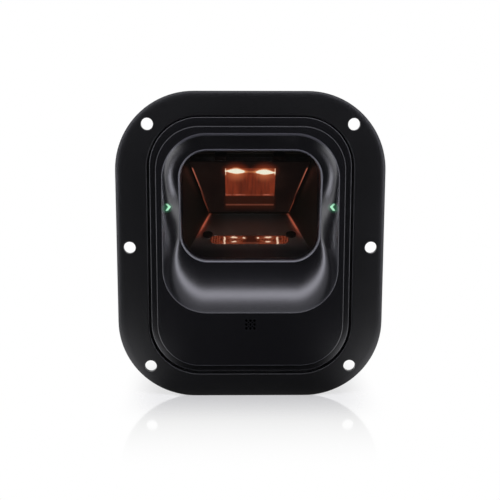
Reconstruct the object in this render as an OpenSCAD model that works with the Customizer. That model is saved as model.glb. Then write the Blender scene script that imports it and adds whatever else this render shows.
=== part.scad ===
// Panel-mount presentation scanner: a bezel with a deep scoop stands in a rounded mounting flange, and a
// tapered housing behind it holds the folded optics, the lamps and the boards.
// Frame: +X right and +Z up as seen from the front, +Y into the device.
// Origin: centre of the flange's corner holes, on the flange's front face.

/* [Mounting flange] */
// How far the flange reaches past the bezel's ledge on each side
flange_side = 16.85; // [16:0.05:20]
// How far the flange reaches past the ledge above and below
flange_end = 13.25; // [13:0.05:20]
// Corner radius of the flange
flange_r = 39; // [30:0.5:42]
// Thickness of the flange plate
flange_t = 3; // [2.5:0.1:5]
// Diameter of the six mounting holes
hole_d = 6; // [4:0.1:7]
// Distance of the corner holes from the flange's side edge
corner_hole_side = 16.1; // [15:0.1:17]
// Distance of the corner holes from the flange's upper or lower edge
corner_hole_end = 16; // [15:0.1:17]
// Distance of the side holes from the flange's side edge
side_hole_edge = 6.5; // [5.5:0.1:7]
// Gap between the flange's opening and the bezel's ledge
opening_gap = 1.45; // [0.5:0.05:2]
// Thickness of the flange gasket
flange_gasket_t = 1; // [0.5:0.1:2]

/* [Front bezel] */
// Width of the face beside the scoop
face_side = 3.2; // [2.5:0.1:4]
// Height of the face above the scoop
face_above = 3.7; // [3:0.1:5]
// Height of the face below the scoop
face_below = 27.5; // [26:0.1:30]
// Corner radius of the raised face
face_r = 21.5; // [18:0.5:24]
// How far the face stands proud of the flange
face_rise = 2.5; // [1.5:0.1:4]
// Thickness of the face wall
face_t = 3; // [2.5:0.1:4]
// Width of the ledge beside the face
ledge_side = 3.1; // [2.6:0.1:4]
// Width of the ledge above and below the face
ledge_end = 3.65; // [3:0.05:5]
// Corner radius of the ledge
ledge_r = 24.5; // [22:0.5:26]
// Thickness of the ledge's side wall
bezel_wall = 2.5; // [2:0.1:3]
// How far the rear lip reaches past the ledge on each side
lip_side = 4.1; // [3:0.1:4.6]
// How far the rear lip reaches past the ledge above and below
lip_end = 8.5; // [8:0.1:9.5]
// Corner radius of the rear lip
lip_r = 38; // [36:0.5:39]
// Thickness of the rear lip
lip_t = 3; // [2.5:0.1:4]

/* [Scoop] */
// Width of the scoop's mouth
scoop_w = 87.2; // [85:0.1:96]
// Height of the scoop's mouth
scoop_h = 89.5; // [87:0.1:98]
// Corner radius of the mouth
scoop_r = 22; // [21:0.5:24]
// Slope of the scoop's wall at the mouth, against the face
mouth_slope = 66; // [55:1:70]
// Slope of the wall at the mouth round the top
mouth_slope_top = 44; // [40:1:60]
// Slope of the wall at the mouth along the foot
mouth_slope_foot = 51; // [48:1:66]
// Width of the scoop's curve at the top
run_top = 6; // [5:0.1:8]
// Width of the scoop's curve at the foot
run_foot = 21; // [18:0.1:21]
// Distance below the mouth's upper edge where the curve starts to widen
widen_below = 6.65; // [5:0.05:10]
// Distance above the mouth's lower edge where the curve is at its widest
widen_above = 7.85; // [6:0.05:28]
// Share of the widening's height over which the wall steepens from its top slope
steepen_share = 0.3; // [0.2:0.05:0.4]
// Share of the widening's height from which the wall eases to its foot slope
ease_share = 0.8; // [0.7:0.05:0.9]
// Depth of the window's seat below the face
seat_depth = 17; // [16.5:0.1:19]
// Wall thickness of the scoop
scoop_wall = 2; // [1.6:0.1:2.5]

/* [Window] */
// Distance of the rim inside the mouth's side edges
rim_side = 7.75; // [7.2:0.05:9]
// Height of the window well's rim
rim_h = 58.3; // [54:0.1:59]
// Corner radius of the rim
rim_r = 14.5; // [12:0.5:16]
// Distance of the rim below the mouth's upper edge
rim_below = 7.75; // [7:0.05:9]
// Width of the bevel on the rim
rim_bevel = 0.8; // [0.5:0.1:1.2]
// Draft of the well's wall, as a width
well_draft = 0.35; // [0.2:0.05:0.6]
// Width of the flat step at the bottom of the well
well_step = 0.2; // [0.15:0.05:0.5]
// Thickness of the window gasket
window_gasket_t = 1; // [0.5:0.1:1.5]
// Thickness of the window pane
pane_t = 2.5; // [2:0.1:4]
// How far the pane reaches behind the well on each side
pane_margin = 3.5; // [2.7:0.1:3.8]

/* [Sound holes and chevrons] */
// Distance of the sound holes' centre below the scoop
sound_below = 5.95; // [5.8:0.05:9]
// Diameter of a sound hole in the rows of three
sound_hole_d = 1.2; // [0.8:0.1:1.2]
// Diameter of a sound hole in the rows of two
sound_hole_small = 0.8; // [0.6:0.1:1]
// Distance between neighbouring sound holes in a row
sound_pitch = 2; // [1.8:0.1:2.4]
// Diameter of the beeper
beeper_d = 10; // [9:0.1:10.2]
// Depth of the beeper
beeper_t = 4; // [3:0.1:5]
// Height of the chevrons above the window's middle
chevron_rise = 0.5; // [-3:0.05:3]
// Distance of the chevrons from the mouth's edge
chevron_in = 2.8; // [2.6:0.1:3.6]
// Height of a chevron
chevron_h = 3.4; // [2.6:0.1:4.2]
// Length of a chevron along the wall
chevron_l = 3.1; // [2.6:0.1:4.6]
// Stroke of a chevron along the wall
chevron_stroke = 1.3; // [1:0.1:2]

/* [Optical chamber] */
// How far each side of the chamber stands outside the window's opening
chamber_beside = 0.1; // [-1:0.1:0.6]
// How far each side of the chamber comes in by its far edge
chamber_narrow = 12.6; // [11:0.1:14]
// How far the chamber's upper panel starts above the window's opening
chamber_over = 0.95; // [0:0.05:1.4]
// How far the chamber's lower panel starts below the window's opening
chamber_under = 1.85; // [1:0.05:2.9]
// Depth of the chamber from the pane to its far edge
chamber_depth = 40; // [38:0.1:41]
// Wall thickness of the chamber
chamber_wall = 2; // [1.6:0.1:2.4]
// Thickness of the fold mirror
mirror_t = 2; // [1.5:0.1:3]
// Thickness of the light guide that lies on the mirror
guide_t = 0.6; // [0.4:0.1:1]

/* [Lamps and camera] */
// Length of the light bar
bar_l = 42; // [38:0.5:42]
// Width of the light bar
bar_w = 7; // [6:0.1:7]
// Distance of the light bar up the lower panel
bar_s = 18.2; // [17.5:0.1:19]
// Distance across between the lamp board's bosses
lamp_boss_pitch = 45; // [45:0.1:47]
// Size of one square lamp
lamp_size = 3; // [2:0.1:3.4]
// Diameter of the camera's lens barrel
barrel_d = 9; // [7:0.1:9.5]
// Diameter of the camera's front lens
camera_lens_d = 6; // [4:0.1:6.4]
// Distance of the camera board below the chamber's lower panel
camera_drop = 12.5; // [12.1:0.1:15]

/* [Rear housing] */
// How far the housing's outline stays inside the ledge's
housing_inset = 0.45; // [0.2:0.05:0.6]
// Corner radius of the housing at the front
housing_r = 24; // [23:0.5:24.5]
// How far each side leans in to the rear
side_lean = 4.5; // [3:0.1:6]
// How far the top and the bottom lean in to the rear
end_lean = 5.5; // [4:0.1:7]
// Corner radius of the housing at the rear
rear_r = 20; // [18:0.5:22]
// Width of the slope round the rear edge
rear_bevel = 4; // [2:0.5:6]
// Wall thickness of the housing
housing_wall = 2.5; // [2:0.1:2.8]
// Thickness of the housing seal
seal_t = 1; // [0.5:0.1:2]
// Distance of the housing screws from the rear edge
housing_screw_edge = 4.5; // [4.3:0.1:5]

/* [Boards and controls] */
// Width of the main board
board_w = 76; // [74:0.5:80]
// Height of the main board
board_h = 94; // [92:0.5:98]
// Thickness of the boards
board_t = 1.6; // [1:0.1:2]
// Free depth between the optical chamber and the main board
board_room = 4.6; // [4:0.1:12]
// Distance of the main board in front of the rear wall
board_standoff = 13.9; // [13:0.1:15]
// Height of the cable socket's centre above the origin
socket_z = -30; // [-34:0.5:-26]
// Width of the cable socket's cavity
socket_cavity_w = 12; // [10:0.1:13]
// Height of the cable socket's cavity
socket_cavity_h = 9; // [8:0.1:10]
// Depth of the cable socket's cavity
socket_cavity_d = 12; // [8:0.1:12.5]
// Diameter of the volume button
button_d = 9; // [7:0.1:11]
// Travel of the volume button
button_travel = 1; // [0.6:0.1:1.2]
// Distance of the button to the right of the socket
button_x = 26; // [22:0.5:28]

/* [Hidden] */
$fn = 64;

// Shared clearances and the overshoot of a cut
fit = 0.05;
slip = 0.2;
past = 1;

// Levels along Y, from the face to the rear
face_y = -face_rise;
face_back = face_y + face_t;
lip_y = flange_t + flange_gasket_t;
lip_back = lip_y + lip_t;
seat_y = face_y + seat_depth;
seat_back = seat_y + scoop_wall;
pane_y = seat_back + window_gasket_t;
chamber_y = pane_y + pane_t;
housing_y = lip_back + seal_t;

// Outlines that follow from others, from the scoop's mouth outwards
face_w = scoop_w + 2 * face_side;
face_h = scoop_h + face_above + face_below;
ledge_w = face_w + 2 * ledge_side;
ledge_h = face_h + 2 * ledge_end;
opening_w = ledge_w + 2 * opening_gap;
opening_h = ledge_h + 2 * opening_gap;
opening_r = ledge_r + opening_gap;
lip_w = ledge_w + 2 * lip_side;
lip_h = ledge_h + 2 * lip_end;
flange_w = ledge_w + 2 * flange_side;
flange_h = ledge_h + 2 * flange_end;
corner_pitch_x = flange_w - 2 * corner_hole_side;
corner_pitch_z = flange_h - 2 * corner_hole_end;
side_pitch_x = flange_w - 2 * side_hole_edge;
housing_w = ledge_w - 2 * housing_inset;
housing_h = ledge_h - 2 * housing_inset;
rear_w = housing_w - 2 * side_lean;
rear_h = housing_h - 2 * end_lean;
housing_screw_x = rear_w - 2 * housing_screw_edge;
housing_screw_z = rear_h - 2 * housing_screw_edge;

// Mouth of the scoop, and the window at its bottom
mouth_top = face_h / 2 - face_above;
mouth_low = mouth_top - scoop_h;
sound_z = mouth_low - sound_below;
window_z = mouth_top - rim_below - rim_h / 2;
rim_w = scoop_w - 2 * rim_side;
well_inset = rim_bevel + well_draft;
aperture_w = rim_w - 2 * (well_inset + well_step);
aperture_h = rim_h - 2 * (well_inset + well_step);
aperture_r = rim_r - well_inset - well_step;
pane_w = aperture_w + 2 * pane_margin;
pane_h = aperture_h + 2 * pane_margin;
pane_r = aperture_r + pane_margin;
seat_edge = 0.4;
chevron_z = window_z + chevron_rise;

// Screws: thread diameter, head diameter and head height of each size
lip_screw = [2.4, 5, 2];
small_screw = [2.4, 4.6, 1.8];
tiny_screw = [1.9, 3.8, 1.4];
housing_screw = [2.9, 5.6, 2.4];
thread_past_seat = 5;
socket_share = 0.6;

// Places of the screws, as [x, z] or as coordinates of their own mount
lip_screw_x = 20;
lip_screw_edge = 3.7;
lip_screws_at = [for (x = [-1, 0, 1], z = [-1, 1]) [x * lip_screw_x, z * (lip_h / 2 - lip_screw_edge)]];
flange_thread_depth = flange_t - past;
housing_screws_at = [for (x = [-1, 1], z = [-1, 1]) [x * housing_screw_x / 2, z * housing_screw_z / 2]];
insert_d = 4.2;
insert_l = 5;
boss_d = 7;
well_d = 8;
well_wall = 2;
well_seat_t = 4;

// Columns behind the scoop that carry the chamber
column_d = 6;
column_inside = 1.6;
column_under = 19.75;
column_over = 18.25;
column_x = scoop_w / 2 - column_inside;
column_low = window_z - column_under;
column_high = window_z + column_over;
columns_at = [for (x = [-1, 1], z = [column_low, column_high]) [x * column_x, z]];
ear_d = 7;
chamber_frame_t = 2.5;
chamber_frame_edge = 1.2;

// Slopes of the chamber: the upper panel falls 45 degrees, the lower panel rises to meet it
chamber_half = aperture_w / 2 + chamber_beside;
chamber_far_half = chamber_half - chamber_narrow;
chamber_top = window_z + aperture_h / 2 + chamber_over;
chamber_bottom = window_z - aperture_h / 2 - chamber_under;
chamber_far_z = chamber_top - chamber_depth;
panel_slope = (chamber_far_z - chamber_bottom) / chamber_depth;
panel_tilt = atan(panel_slope);
side_slope = (chamber_half - chamber_far_half) / chamber_depth;
chamber_back = chamber_y + (chamber_top - chamber_bottom + chamber_wall * sqrt(2)
    + chamber_wall / cos(panel_tilt)) / (1 + panel_slope);

// Levels behind the chamber
board_y = chamber_back + board_room;
board_back = board_y + board_t;
rear_inside = board_back + board_standoff;
rear_y = rear_inside + housing_wall;

// The fold mirror on the chamber's upper panel
mirror_tilt = 45;
mirror_from = 5;
mirror_to = 52;
mirror_edge = 0.6;
guide_from = 9;
guide_to = 51;
guide_edge = 1.4;
clip_w = 6;
clip_x = 15;
clip_lip = 1.5;
clip_t = 1;

// Light bar and lamps on the lower panel
bar_proud = 0.6;
bar_flange = 1.25;
bar_flange_t = 1;
lamp_gap = 3.5;
lamp_board_top = -chamber_wall - lamp_gap;
lamp_board_w = 54;
lamp_board_l = 14;
lamp_board_s = bar_s + 1;
lamp_t = 1.2;
lamp_pitch = 4.5;
lamp_first = 8;
lamp_boss_d = 5.5;
lamp_boss_rise = 1.2;
lamp_boss_s = bar_s + 4.4;
lamp_thread = 3;

// Camera under the lower panel, looking straight up through the middle of the light bar
camera_y = chamber_y + bar_s * cos(panel_tilt);
camera_board_z = chamber_bottom - camera_drop;
camera_board_w = 36;
camera_board_l = 30;
camera_board_y = camera_y + 2.5;
camera_leg_x = 15;
camera_leg_y = 10.5;
camera_legs_at = [for (x = [-1, 1], y = [-1, 1]) [x * camera_leg_x, camera_board_y + y * camera_leg_y]];
camera_leg_d = 5;
holder_w = 14;
holder_h = 8;
sensor_w = 8;
sensor_t = 1.2;
sensor_room = 10;
sensor_room_h = 3;
barrel_bottom = camera_board_z + sensor_room_h + past;
barrel_proud = 1.5;
barrel_top = chamber_bottom + barrel_proud;
camera_lens_t = 2.5;
camera_lens_sink = 0.5;
ribbon_w = 12;
ribbon_t = 0.3;
ribbon_dip = 4;
ribbon_socket_w = 16;
ribbon_socket_l = 4;
ribbon_socket_h = 1.6;
ribbon_rise = 0.8;
camera_socket_back = camera_board_y + camera_board_l / 2;

// Indicator boards outside the scoop's side walls
indicator_gap = 1.5;
indicator_board = [1, 6, 11];
indicator_led = 1.6;
indicator_foot = 1.5;
chevron_proud = 0.15;

// Beeper behind the sound holes
beeper_gasket_t = 1;
beeper_y = face_back + beeper_gasket_t;
beeper_wall = 0.8;
beeper_ring = 1.1;
beeper_ring_h = 4;
beeper_disc_t = 0.4;

// Main board, its fixings and what it carries
board_z = -2.5;
board_screw_edge = 5;
standoff_d = 6;
board_screws_at = [for (x = [-1, 1], z = [-1, 1])
    [x * (board_w / 2 - board_screw_edge), board_z + z * (board_h / 2 - board_screw_edge)]];
standoff_thread = 8;
chip_w = 14;
chip_t = 1.4;
chip_at = [0, 28];
// Small parts on the board's front: [x, z, width, height, thickness]
small_chips = [[-18, 30, 10, 8, 1.1], [18, 30, 10, 8, 1.1], [-24, 4, 7, 7, 3], [24, 4, 7, 7, 3],
    [-20, -36, 9, 6, 1.2], [22, -36, 6, 6, 2.2], [-8, -40, 4, 7, 2], [10, -40, 4, 7, 2]];

// Cable socket on the board's rear
socket_w = 16;
socket_h = 14;
socket_sink = 0.6;
socket_back = rear_y - socket_sink;
contact_n = 10;
contact_w = 0.5;
contact_l = 8;
contact_t = 0.4;
contact_pitch = 1;

// Volume button and the switch it presses
button_proud = 1.2;
button_rim = 1.2;
button_rim_t = 1;
button_stem_d = 4;
button_gap = 0.3;
switch_w = 6;
switch_h = 3.6;
plunger_d = 3.5;
plunger_h = 0.8;
button_stem_end = board_back + switch_h + plunger_h + button_travel + button_gap;
label_w = 44;
label_h = 22;
label_sink = 0.4;
label_z = 24;
seal_w = 1.6;

// Point of a rounded rectangle in the XZ plane, at the angle a in one of its four corners
function corner_point(half_w, low, high, r, corner, a) = [
    (corner == 0 || corner == 3 ? 1 : -1) * (half_w - r) + r * cos(a), 0,
    (corner < 2 ? high - r : low + r) + r * sin(a)
];

// Points of the whole outline, with `corner_steps` in each corner and `side_steps` along each straight side
corner_steps = 8;
side_steps = 6;
function outline(half_w, low, high, r) = [
    for (corner = [0:3], i = [0:corner_steps + side_steps - 1])
        let (from = corner_point(half_w, low, high, r, corner, 90 * (corner + 1)),
            to = corner_point(half_w, low, high, r, (corner + 1) % 4, 90 * (corner + 1)))
        i < corner_steps ? corner_point(half_w, low, high, r, corner, 90 * (corner + i / corner_steps))
            : from + (to - from) * (i - corner_steps) / side_steps
];

// Triangles of a closed body lofted through `levels` rings of `n` points, then the two ends' middles
function loft_faces(levels, n) = concat(
    [for (i = [0:n - 1]) [levels * n, (i + 1) % n, i]],
    [for (k = [0:levels - 2], i = [0:n - 1], half = [0, 1])
        let (a = k * n + i, b = k * n + (i + 1) % n)
        half == 0 ? [a, b, b + n] : [a, b + n, a + n]],
    [for (i = [0:n - 1]) [levels * n + 1, (levels - 1) * n + i, (levels - 1) * n + (i + 1) % n]]
);
function middle(ring) = [for (p = ring) 1] * ring / len(ring);

// The scoop's curve: an arc that starts at the mouth's slope and runs out level at a depth. With the mouth's
// own slope the curve is run_top wide at the top, and grows to run_foot between two heights. Round the top and
// along the foot the wall starts at a gentler slope and would reach the same depth.
curve_high = mouth_top - widen_below;
curve_low = mouth_low + widen_above;
curve_steps = 9;
function ease(t) = let (c = min(max(t, 0), 1)) c * c * (3 - 2 * c);
function curve_share(z) = (curve_high - z) / (curve_high - curve_low);
function level_at(z) = (run_top + (run_foot - run_top) * ease(curve_share(z))) * tan(mouth_slope / 2);
function steep_at(z) = mouth_slope_top + (mouth_slope - mouth_slope_top) * ease(curve_share(z) / steepen_share)
    + (mouth_slope_foot - mouth_slope) * ease((curve_share(z) - ease_share) / steepen_share);
function run_at(z) = level_at(z) / tan(steep_at(z) / 2);
function slope_at(b, z) = asin(sin(steep_at(z)) * max(1 - b / run_at(z), 0));
function depth_at(b, z) = run_at(z) / sin(steep_at(z)) * (cos(slope_at(b, z)) - cos(steep_at(z)));

// The outlines of the mouth and of the window well's rim, point for point
mouth_ring = outline(scoop_w / 2, mouth_low, mouth_top, scoop_r);
rim_ring = outline(rim_w / 2, window_z - rim_h / 2, window_z + rim_h / 2, rim_r);
function well_ring(inset, y) = [
    for (p = outline(rim_w / 2 - inset, window_z - rim_h / 2 + inset, window_z + rim_h / 2 - inset,
        rim_r - inset)) p + [0, y, 0]];
function span(i) = norm(rim_ring[i] - mouth_ring[i]);
function rim_depth(i) = depth_at(span(i), mouth_ring[i][2]);

// One ring of the scoop at the share s of its way to the rim, moved off the surface by the wall `t`
function scoop_ring(s, t) = [
    for (i = [0:len(mouth_ring) - 1])
        let (z = mouth_ring[i][2], way = (rim_ring[i] - mouth_ring[i]) / span(i),
            reach = span(i) - t * (1 - sin(slope_at(span(i), z))),
            b = s * reach, slope = slope_at(b, z))
        mouth_ring[i] + way * (b - t * sin(slope)) + [0, face_y + depth_at(b, z) + t * cos(slope), 0]
];
scoop_shares = [for (k = [0:curve_steps]) k / curve_steps];

module loft(rings) {
    ends = [middle(rings[0]), middle(rings[len(rings) - 1])];
    polyhedron(concat([for (r = rings) each r], ends), loft_faces(len(rings), len(rings[0])));
}

// The hollow of the scoop and of the window well behind it
module scoop_hollow() {
    bevel_ring = [for (i = [0:len(rim_ring) - 1])
        well_ring(rim_bevel, face_y + rim_depth(i) + rim_bevel)[i]];
    loft(concat(
        [[for (p = mouth_ring) p + [0, face_y - past, 0]]],
        [for (s = scoop_shares) scoop_ring(s, 0)],
        [bevel_ring, well_ring(well_inset, seat_y)]
    ));
}

// The wall round that hollow, down to the back of the window's seat
module scoop_shell() {
    front = [for (p = scoop_ring(0, scoop_wall)) [p[0], face_y + past / 2, p[2]]];
    loft(concat(
        [front],
        [for (s = scoop_shares) scoop_ring(s, scoop_wall)],
        [well_ring(-scoop_wall, seat_back)]
    ));
}

module rounded(w, h, r) {
    square([w, h - 2 * r], center = true);
    square([w - 2 * r, h], center = true);
    for (x = [-1, 1], z = [-1, 1]) translate([x * (w / 2 - r), z * (h / 2 - r)]) circle(r);
}

// Extrudes an outline that is drawn in X and Z, from y0 to y1
module slab(y0, y1) {
    translate([0, y1, 0]) rotate([90, 0, 0]) linear_extrude(y1 - y0) children();
}

module rod(d, y0, y1) {
    slab(y0, y1) circle(d = d);
}

// Copies the children to each [x, z] place
module at_each(places) {
    for (p = places) translate([p[0], 0, p[1]]) children();
}

module block(w, h, y0, y1) {
    translate([-w / 2, y0, -h / 2]) cube([w, y1 - y0, h]);
}

// Screw along +Y with its head's seat at y = 0 and its thread towards -Y
module screw(size, l) {
    difference() {
        union() {
            rod(size[1], 0, size[2]);
            rod(size[0], -l, past / 2);
        }
        rod(size[0] * socket_share, size[2] / 2, size[2] + past);
    }
}

module flange_holes(d) {
    at_each([for (x = [-1, 1], z = [-1, 1]) [x * corner_pitch_x / 2, z * corner_pitch_z / 2]])
        rod(d, -past, flange_t + past);
    at_each([for (x = [-1, 1]) [x * side_pitch_x / 2, 0]]) rod(d, -past, flange_t + past);
}

module mounting_flange() {
    color([0.1, 0.1, 0.11])
    difference() {
        slab(0, flange_t) rounded(flange_w, flange_h, flange_r);
        slab(-past, flange_t + past) rounded(opening_w, opening_h, opening_r);
        flange_holes(hole_d);
        at_each(lip_screws_at)
            rod(lip_screw[0] + 2 * fit, flange_t - flange_thread_depth, flange_t + past);
    }
}

module flange_gasket() {
    color([0.05, 0.05, 0.05])
    difference() {
        slab(flange_t, lip_y) rounded(lip_w, lip_h, lip_r);
        slab(flange_t - past, lip_y + past)
            rounded(ledge_w + 2 * slip, ledge_h + 2 * slip, ledge_r + slip);
        at_each(lip_screws_at) rod(lip_screw[0] + 2 * slip, flange_t - past, lip_y + past);
    }
}

module flange_screws() {
    color("silver")
    at_each(lip_screws_at)
        translate([0, lip_back, 0]) screw(lip_screw, lip_back - flange_t + flange_thread_depth - slip);
}

// Frame of the left side wall at the chevron: x out of the wall into the scoop, y down the wall
module on_left_wall() {
    translate([chevron_in - scoop_w / 2, face_y + depth_at(chevron_in, chevron_z), chevron_z])
        rotate([0, 0, slope_at(chevron_in, chevron_z) - 90]) children();
}

module wall_plate(x0, x1) {
    translate([x0, 0, 0]) rotate([90, 0, 90]) linear_extrude(x1 - x0) children();
}

module chevron(grow) {
    lean = (chevron_l - chevron_stroke) / (chevron_h / 2);
    tip = chevron_l / 2 + grow * sqrt(1 + lean * lean);
    notch = chevron_l / 2 - chevron_stroke - grow * sqrt(1 + lean * lean);
    h = chevron_h / 2 + grow;
    polygon([[notch - lean * h, h], [tip - lean * h, h], [tip, 0],
        [tip - lean * h, -h], [notch - lean * h, -h], [notch, 0]]);
}

// Feet on the outside of the side wall that carry the indicator board
module indicator_feet() {
    for (z = [-1, 1])
        wall_plate(-scoop_wall - indicator_gap, -scoop_wall / 2)
            translate([0, z * (indicator_board[2] - indicator_foot) / 2])
                square([indicator_board[1], indicator_foot], center = true);
}

module sound_holes() {
    for (row = [-2:2])
        let (odd = abs(row) % 2)
        for (i = [0:2 - odd])
            translate([(i - 1 + odd / 2) * sound_pitch, 0, sound_z + row * sound_pitch / 2])
                rod(odd == 1 ? sound_hole_small : sound_hole_d, face_y - past, face_back + past);
}

module bezel_shell() {
    difference() {
        union() {
            slab(face_y, past / 2) rounded(face_w, face_h, face_r);
            slab(0, lip_y + past / 2) rounded(ledge_w, ledge_h, ledge_r);
            slab(lip_y, lip_back) rounded(lip_w, lip_h, lip_r);
        }
        slab(face_back, lip_back + past)
            rounded(ledge_w - 2 * bezel_wall, ledge_h - 2 * bezel_wall, ledge_r - bezel_wall);
    }
}

module front_bezel() {
    color([0.07, 0.07, 0.08])
    difference() {
        union() {
            bezel_shell();
            scoop_shell();
            translate([0, 0, window_z])
                slab(seat_y, seat_back)
                    rounded(pane_w + 2 * seat_edge, pane_h + 2 * seat_edge, pane_r + seat_edge);
            at_each(housing_screws_at) rod(boss_d, face_back - past, lip_back);
            at_each(columns_at) rod(column_d, face_back - past, chamber_y);
            translate([0, 0, sound_z])
                rod(beeper_d + 2 * slip + 2 * beeper_ring, face_back - past, face_back + beeper_ring_h);
            on_left_wall() indicator_feet();
            mirror([1, 0, 0]) on_left_wall() indicator_feet();
        }
        scoop_hollow();
        translate([0, 0, sound_z]) rod(beeper_d + 2 * slip, face_back, face_back + beeper_ring_h + past);
        sound_holes();
        translate([0, 0, window_z])
            slab(seat_y - past, seat_back + past) rounded(aperture_w, aperture_h, aperture_r);
        for (side = [0, 1]) mirror([side, 0, 0]) on_left_wall()
            wall_plate(-scoop_wall - past, past) chevron(fit);
        at_each(housing_screws_at) rod(insert_d + 2 * fit, lip_back - insert_l, lip_back + past);
        at_each(columns_at)
            rod(small_screw[0] + 2 * fit, chamber_y - thread_past_seat - past, chamber_y + past);
        at_each(lip_screws_at) rod(lip_screw[0] + 2 * slip, lip_y - past, lip_back + past);
    }
}

module window_gasket() {
    color([0.04, 0.04, 0.04])
    translate([0, 0, window_z])
    difference() {
        slab(seat_back, pane_y) rounded(pane_w, pane_h, pane_r);
        slab(seat_back - past, pane_y + past)
            rounded(aperture_w + 2 * slip, aperture_h + 2 * slip, aperture_r + slip);
    }
}

module window_pane() {
    color([0.5, 0.55, 0.58, 0.25])
    translate([0, 0, window_z]) slab(pane_y, chamber_y) rounded(pane_w, pane_h, pane_r);
}

module chevron_lens() {
    color([0.3, 0.95, 0.55])
    on_left_wall() wall_plate(-scoop_wall, chevron_proud) chevron(0);
}

module chevron_lens_left() {
    chevron_lens();
}

module chevron_lens_right() {
    mirror([1, 0, 0]) chevron_lens();
}

module indicator_plate() {
    color([0.05, 0.3, 0.15])
    on_left_wall()
        translate([-scoop_wall - indicator_gap - indicator_board[0], -indicator_board[1] / 2,
            -indicator_board[2] / 2])
            cube(indicator_board);
}

module indicator_board_left() {
    indicator_plate();
}

module indicator_board_right() {
    mirror([1, 0, 0]) indicator_plate();
}

module indicator_leds() {
    color([0.7, 1, 0.8])
    for (side = [0, 1]) mirror([side, 0, 0]) on_left_wall()
        translate([-scoop_wall - indicator_gap, -indicator_led / 2, -indicator_led / 2])
            cube([indicator_gap - 2 * slip, indicator_led, indicator_led]);
}

module beeper_gasket() {
    color([0.15, 0.15, 0.16])
    translate([0, 0, sound_z])
    difference() {
        rod(beeper_d, face_back, beeper_y);
        rod(beeper_d - 2 * beeper_wall, face_back - past, beeper_y + past);
    }
}

module beeper_case() {
    color([0.1, 0.1, 0.1])
    translate([0, 0, sound_z])
    difference() {
        rod(beeper_d, beeper_y, beeper_y + beeper_t);
        rod(beeper_d - 2 * beeper_wall, beeper_y - past, beeper_y + beeper_t - beeper_wall);
    }
}

module beeper_disc() {
    color("goldenrod")
    translate([0, 0, sound_z])
        rod(beeper_d - 2 * beeper_wall - 2 * fit, beeper_y + past, beeper_y + past + beeper_disc_t);
}

// Wedge between the chamber's four slopes, moved outwards by `grow`, from the level y_front to its far edge
module chamber_wedge(grow, y_front) {
    ahead = y_front - chamber_y;
    high = chamber_top + grow * sqrt(2) - ahead;
    low = chamber_bottom - grow / cos(panel_tilt) + ahead * panel_slope;
    half = chamber_half + grow / cos(atan(side_slope)) - ahead * side_slope;
    run = (high - low) / (1 + panel_slope);
    far_half = half - run * side_slope;
    far = [y_front + run, high - run];
    polyhedron(
        [[-half, y_front, low], [half, y_front, low], [half, y_front, high], [-half, y_front, high],
            [-far_half, far[0], far[1]], [far_half, far[0], far[1]]],
        [[3, 2, 1, 0], [4, 5, 2, 3], [5, 4, 0, 1], [4, 3, 0], [5, 1, 2]]
    );
}

// Frame of the lower panel: x across, y up the slope, z into the chamber
module on_lower_panel() {
    translate([0, chamber_y, chamber_bottom]) rotate([panel_tilt, 0, 0]) children();
}

// Frame of the upper panel: x across, y down the slope, z out of the chamber
module on_upper_panel() {
    translate([0, chamber_y, chamber_top]) rotate([-mirror_tilt, 0, 0]) children();
}

module pill(l, w) {
    square([l - w, w], center = true);
    for (x = [-1, 1]) translate([x * (l - w) / 2, 0]) circle(d = w);
}

module lamp_bosses(d, z0, z1) {
    for (x = [-1, 1])
        translate([x * lamp_boss_pitch / 2, lamp_boss_s, z0]) cylinder(d = d, h = z1 - z0);
}

// Notches that keep a plate clear of the housing's screw wells
module well_clearance(y0, y1) {
    at_each(housing_screws_at) rod(well_d + 2 * well_wall + 4 * slip, y0 - past, y1 + past);
}

module optical_chamber() {
    frame_w = 2 * (chamber_half + chamber_wall + chamber_frame_edge);
    frame_low = chamber_bottom - chamber_wall - chamber_frame_edge;
    frame_high = chamber_top + chamber_wall * sqrt(2) + chamber_frame_edge;
    color([0.12, 0.11, 0.11])
    difference() {
        union() {
            difference() {
                union() {
                    chamber_wedge(chamber_wall, chamber_y);
                    translate([-frame_w / 2, chamber_y, frame_low])
                        cube([frame_w, chamber_frame_t, frame_high - frame_low]);
                    for (p = columns_at) {
                        translate([p[0], 0, p[1]]) rod(ear_d, chamber_y, chamber_y + chamber_frame_t);
                        translate([sign(p[0]) * (chamber_half + (abs(p[0]) - chamber_half) / 2), 0, p[1]])
                            block(abs(p[0]) - chamber_half, ear_d, chamber_y, chamber_y + chamber_frame_t);
                    }
                    for (p = camera_legs_at) translate([p[0], p[1], camera_board_z])
                        cylinder(d = camera_leg_d,
                            h = chamber_bottom + (p[1] - chamber_y) * panel_slope - camera_board_z);
                }
                chamber_wedge(0, chamber_y - past);
            }
            on_lower_panel() lamp_bosses(lamp_boss_d, lamp_board_top, lamp_boss_rise);
        }
        on_lower_panel() {
            translate([0, bar_s, -chamber_wall - past])
                linear_extrude(chamber_wall + 2 * past) pill(bar_l + 2 * fit, bar_w + 2 * fit);
            lamp_bosses(tiny_screw[0] + 2 * fit, lamp_board_top - past, lamp_board_top + lamp_thread + slip);
        }
        at_each(columns_at)
            rod(small_screw[0] + 2 * slip, chamber_y - past, chamber_y + chamber_frame_t + past);
        well_clearance(chamber_y, chamber_y + chamber_frame_t);
        for (p = camera_legs_at) translate([p[0], p[1], camera_board_z - past])
            cylinder(d = tiny_screw[0] + 2 * fit, h = lamp_thread + slip + past);
    }
}

module chamber_screws() {
    color("silver")
    at_each(columns_at)
        translate([0, chamber_y + chamber_frame_t, 0])
            screw(small_screw, chamber_frame_t + thread_past_seat);
}

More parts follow.
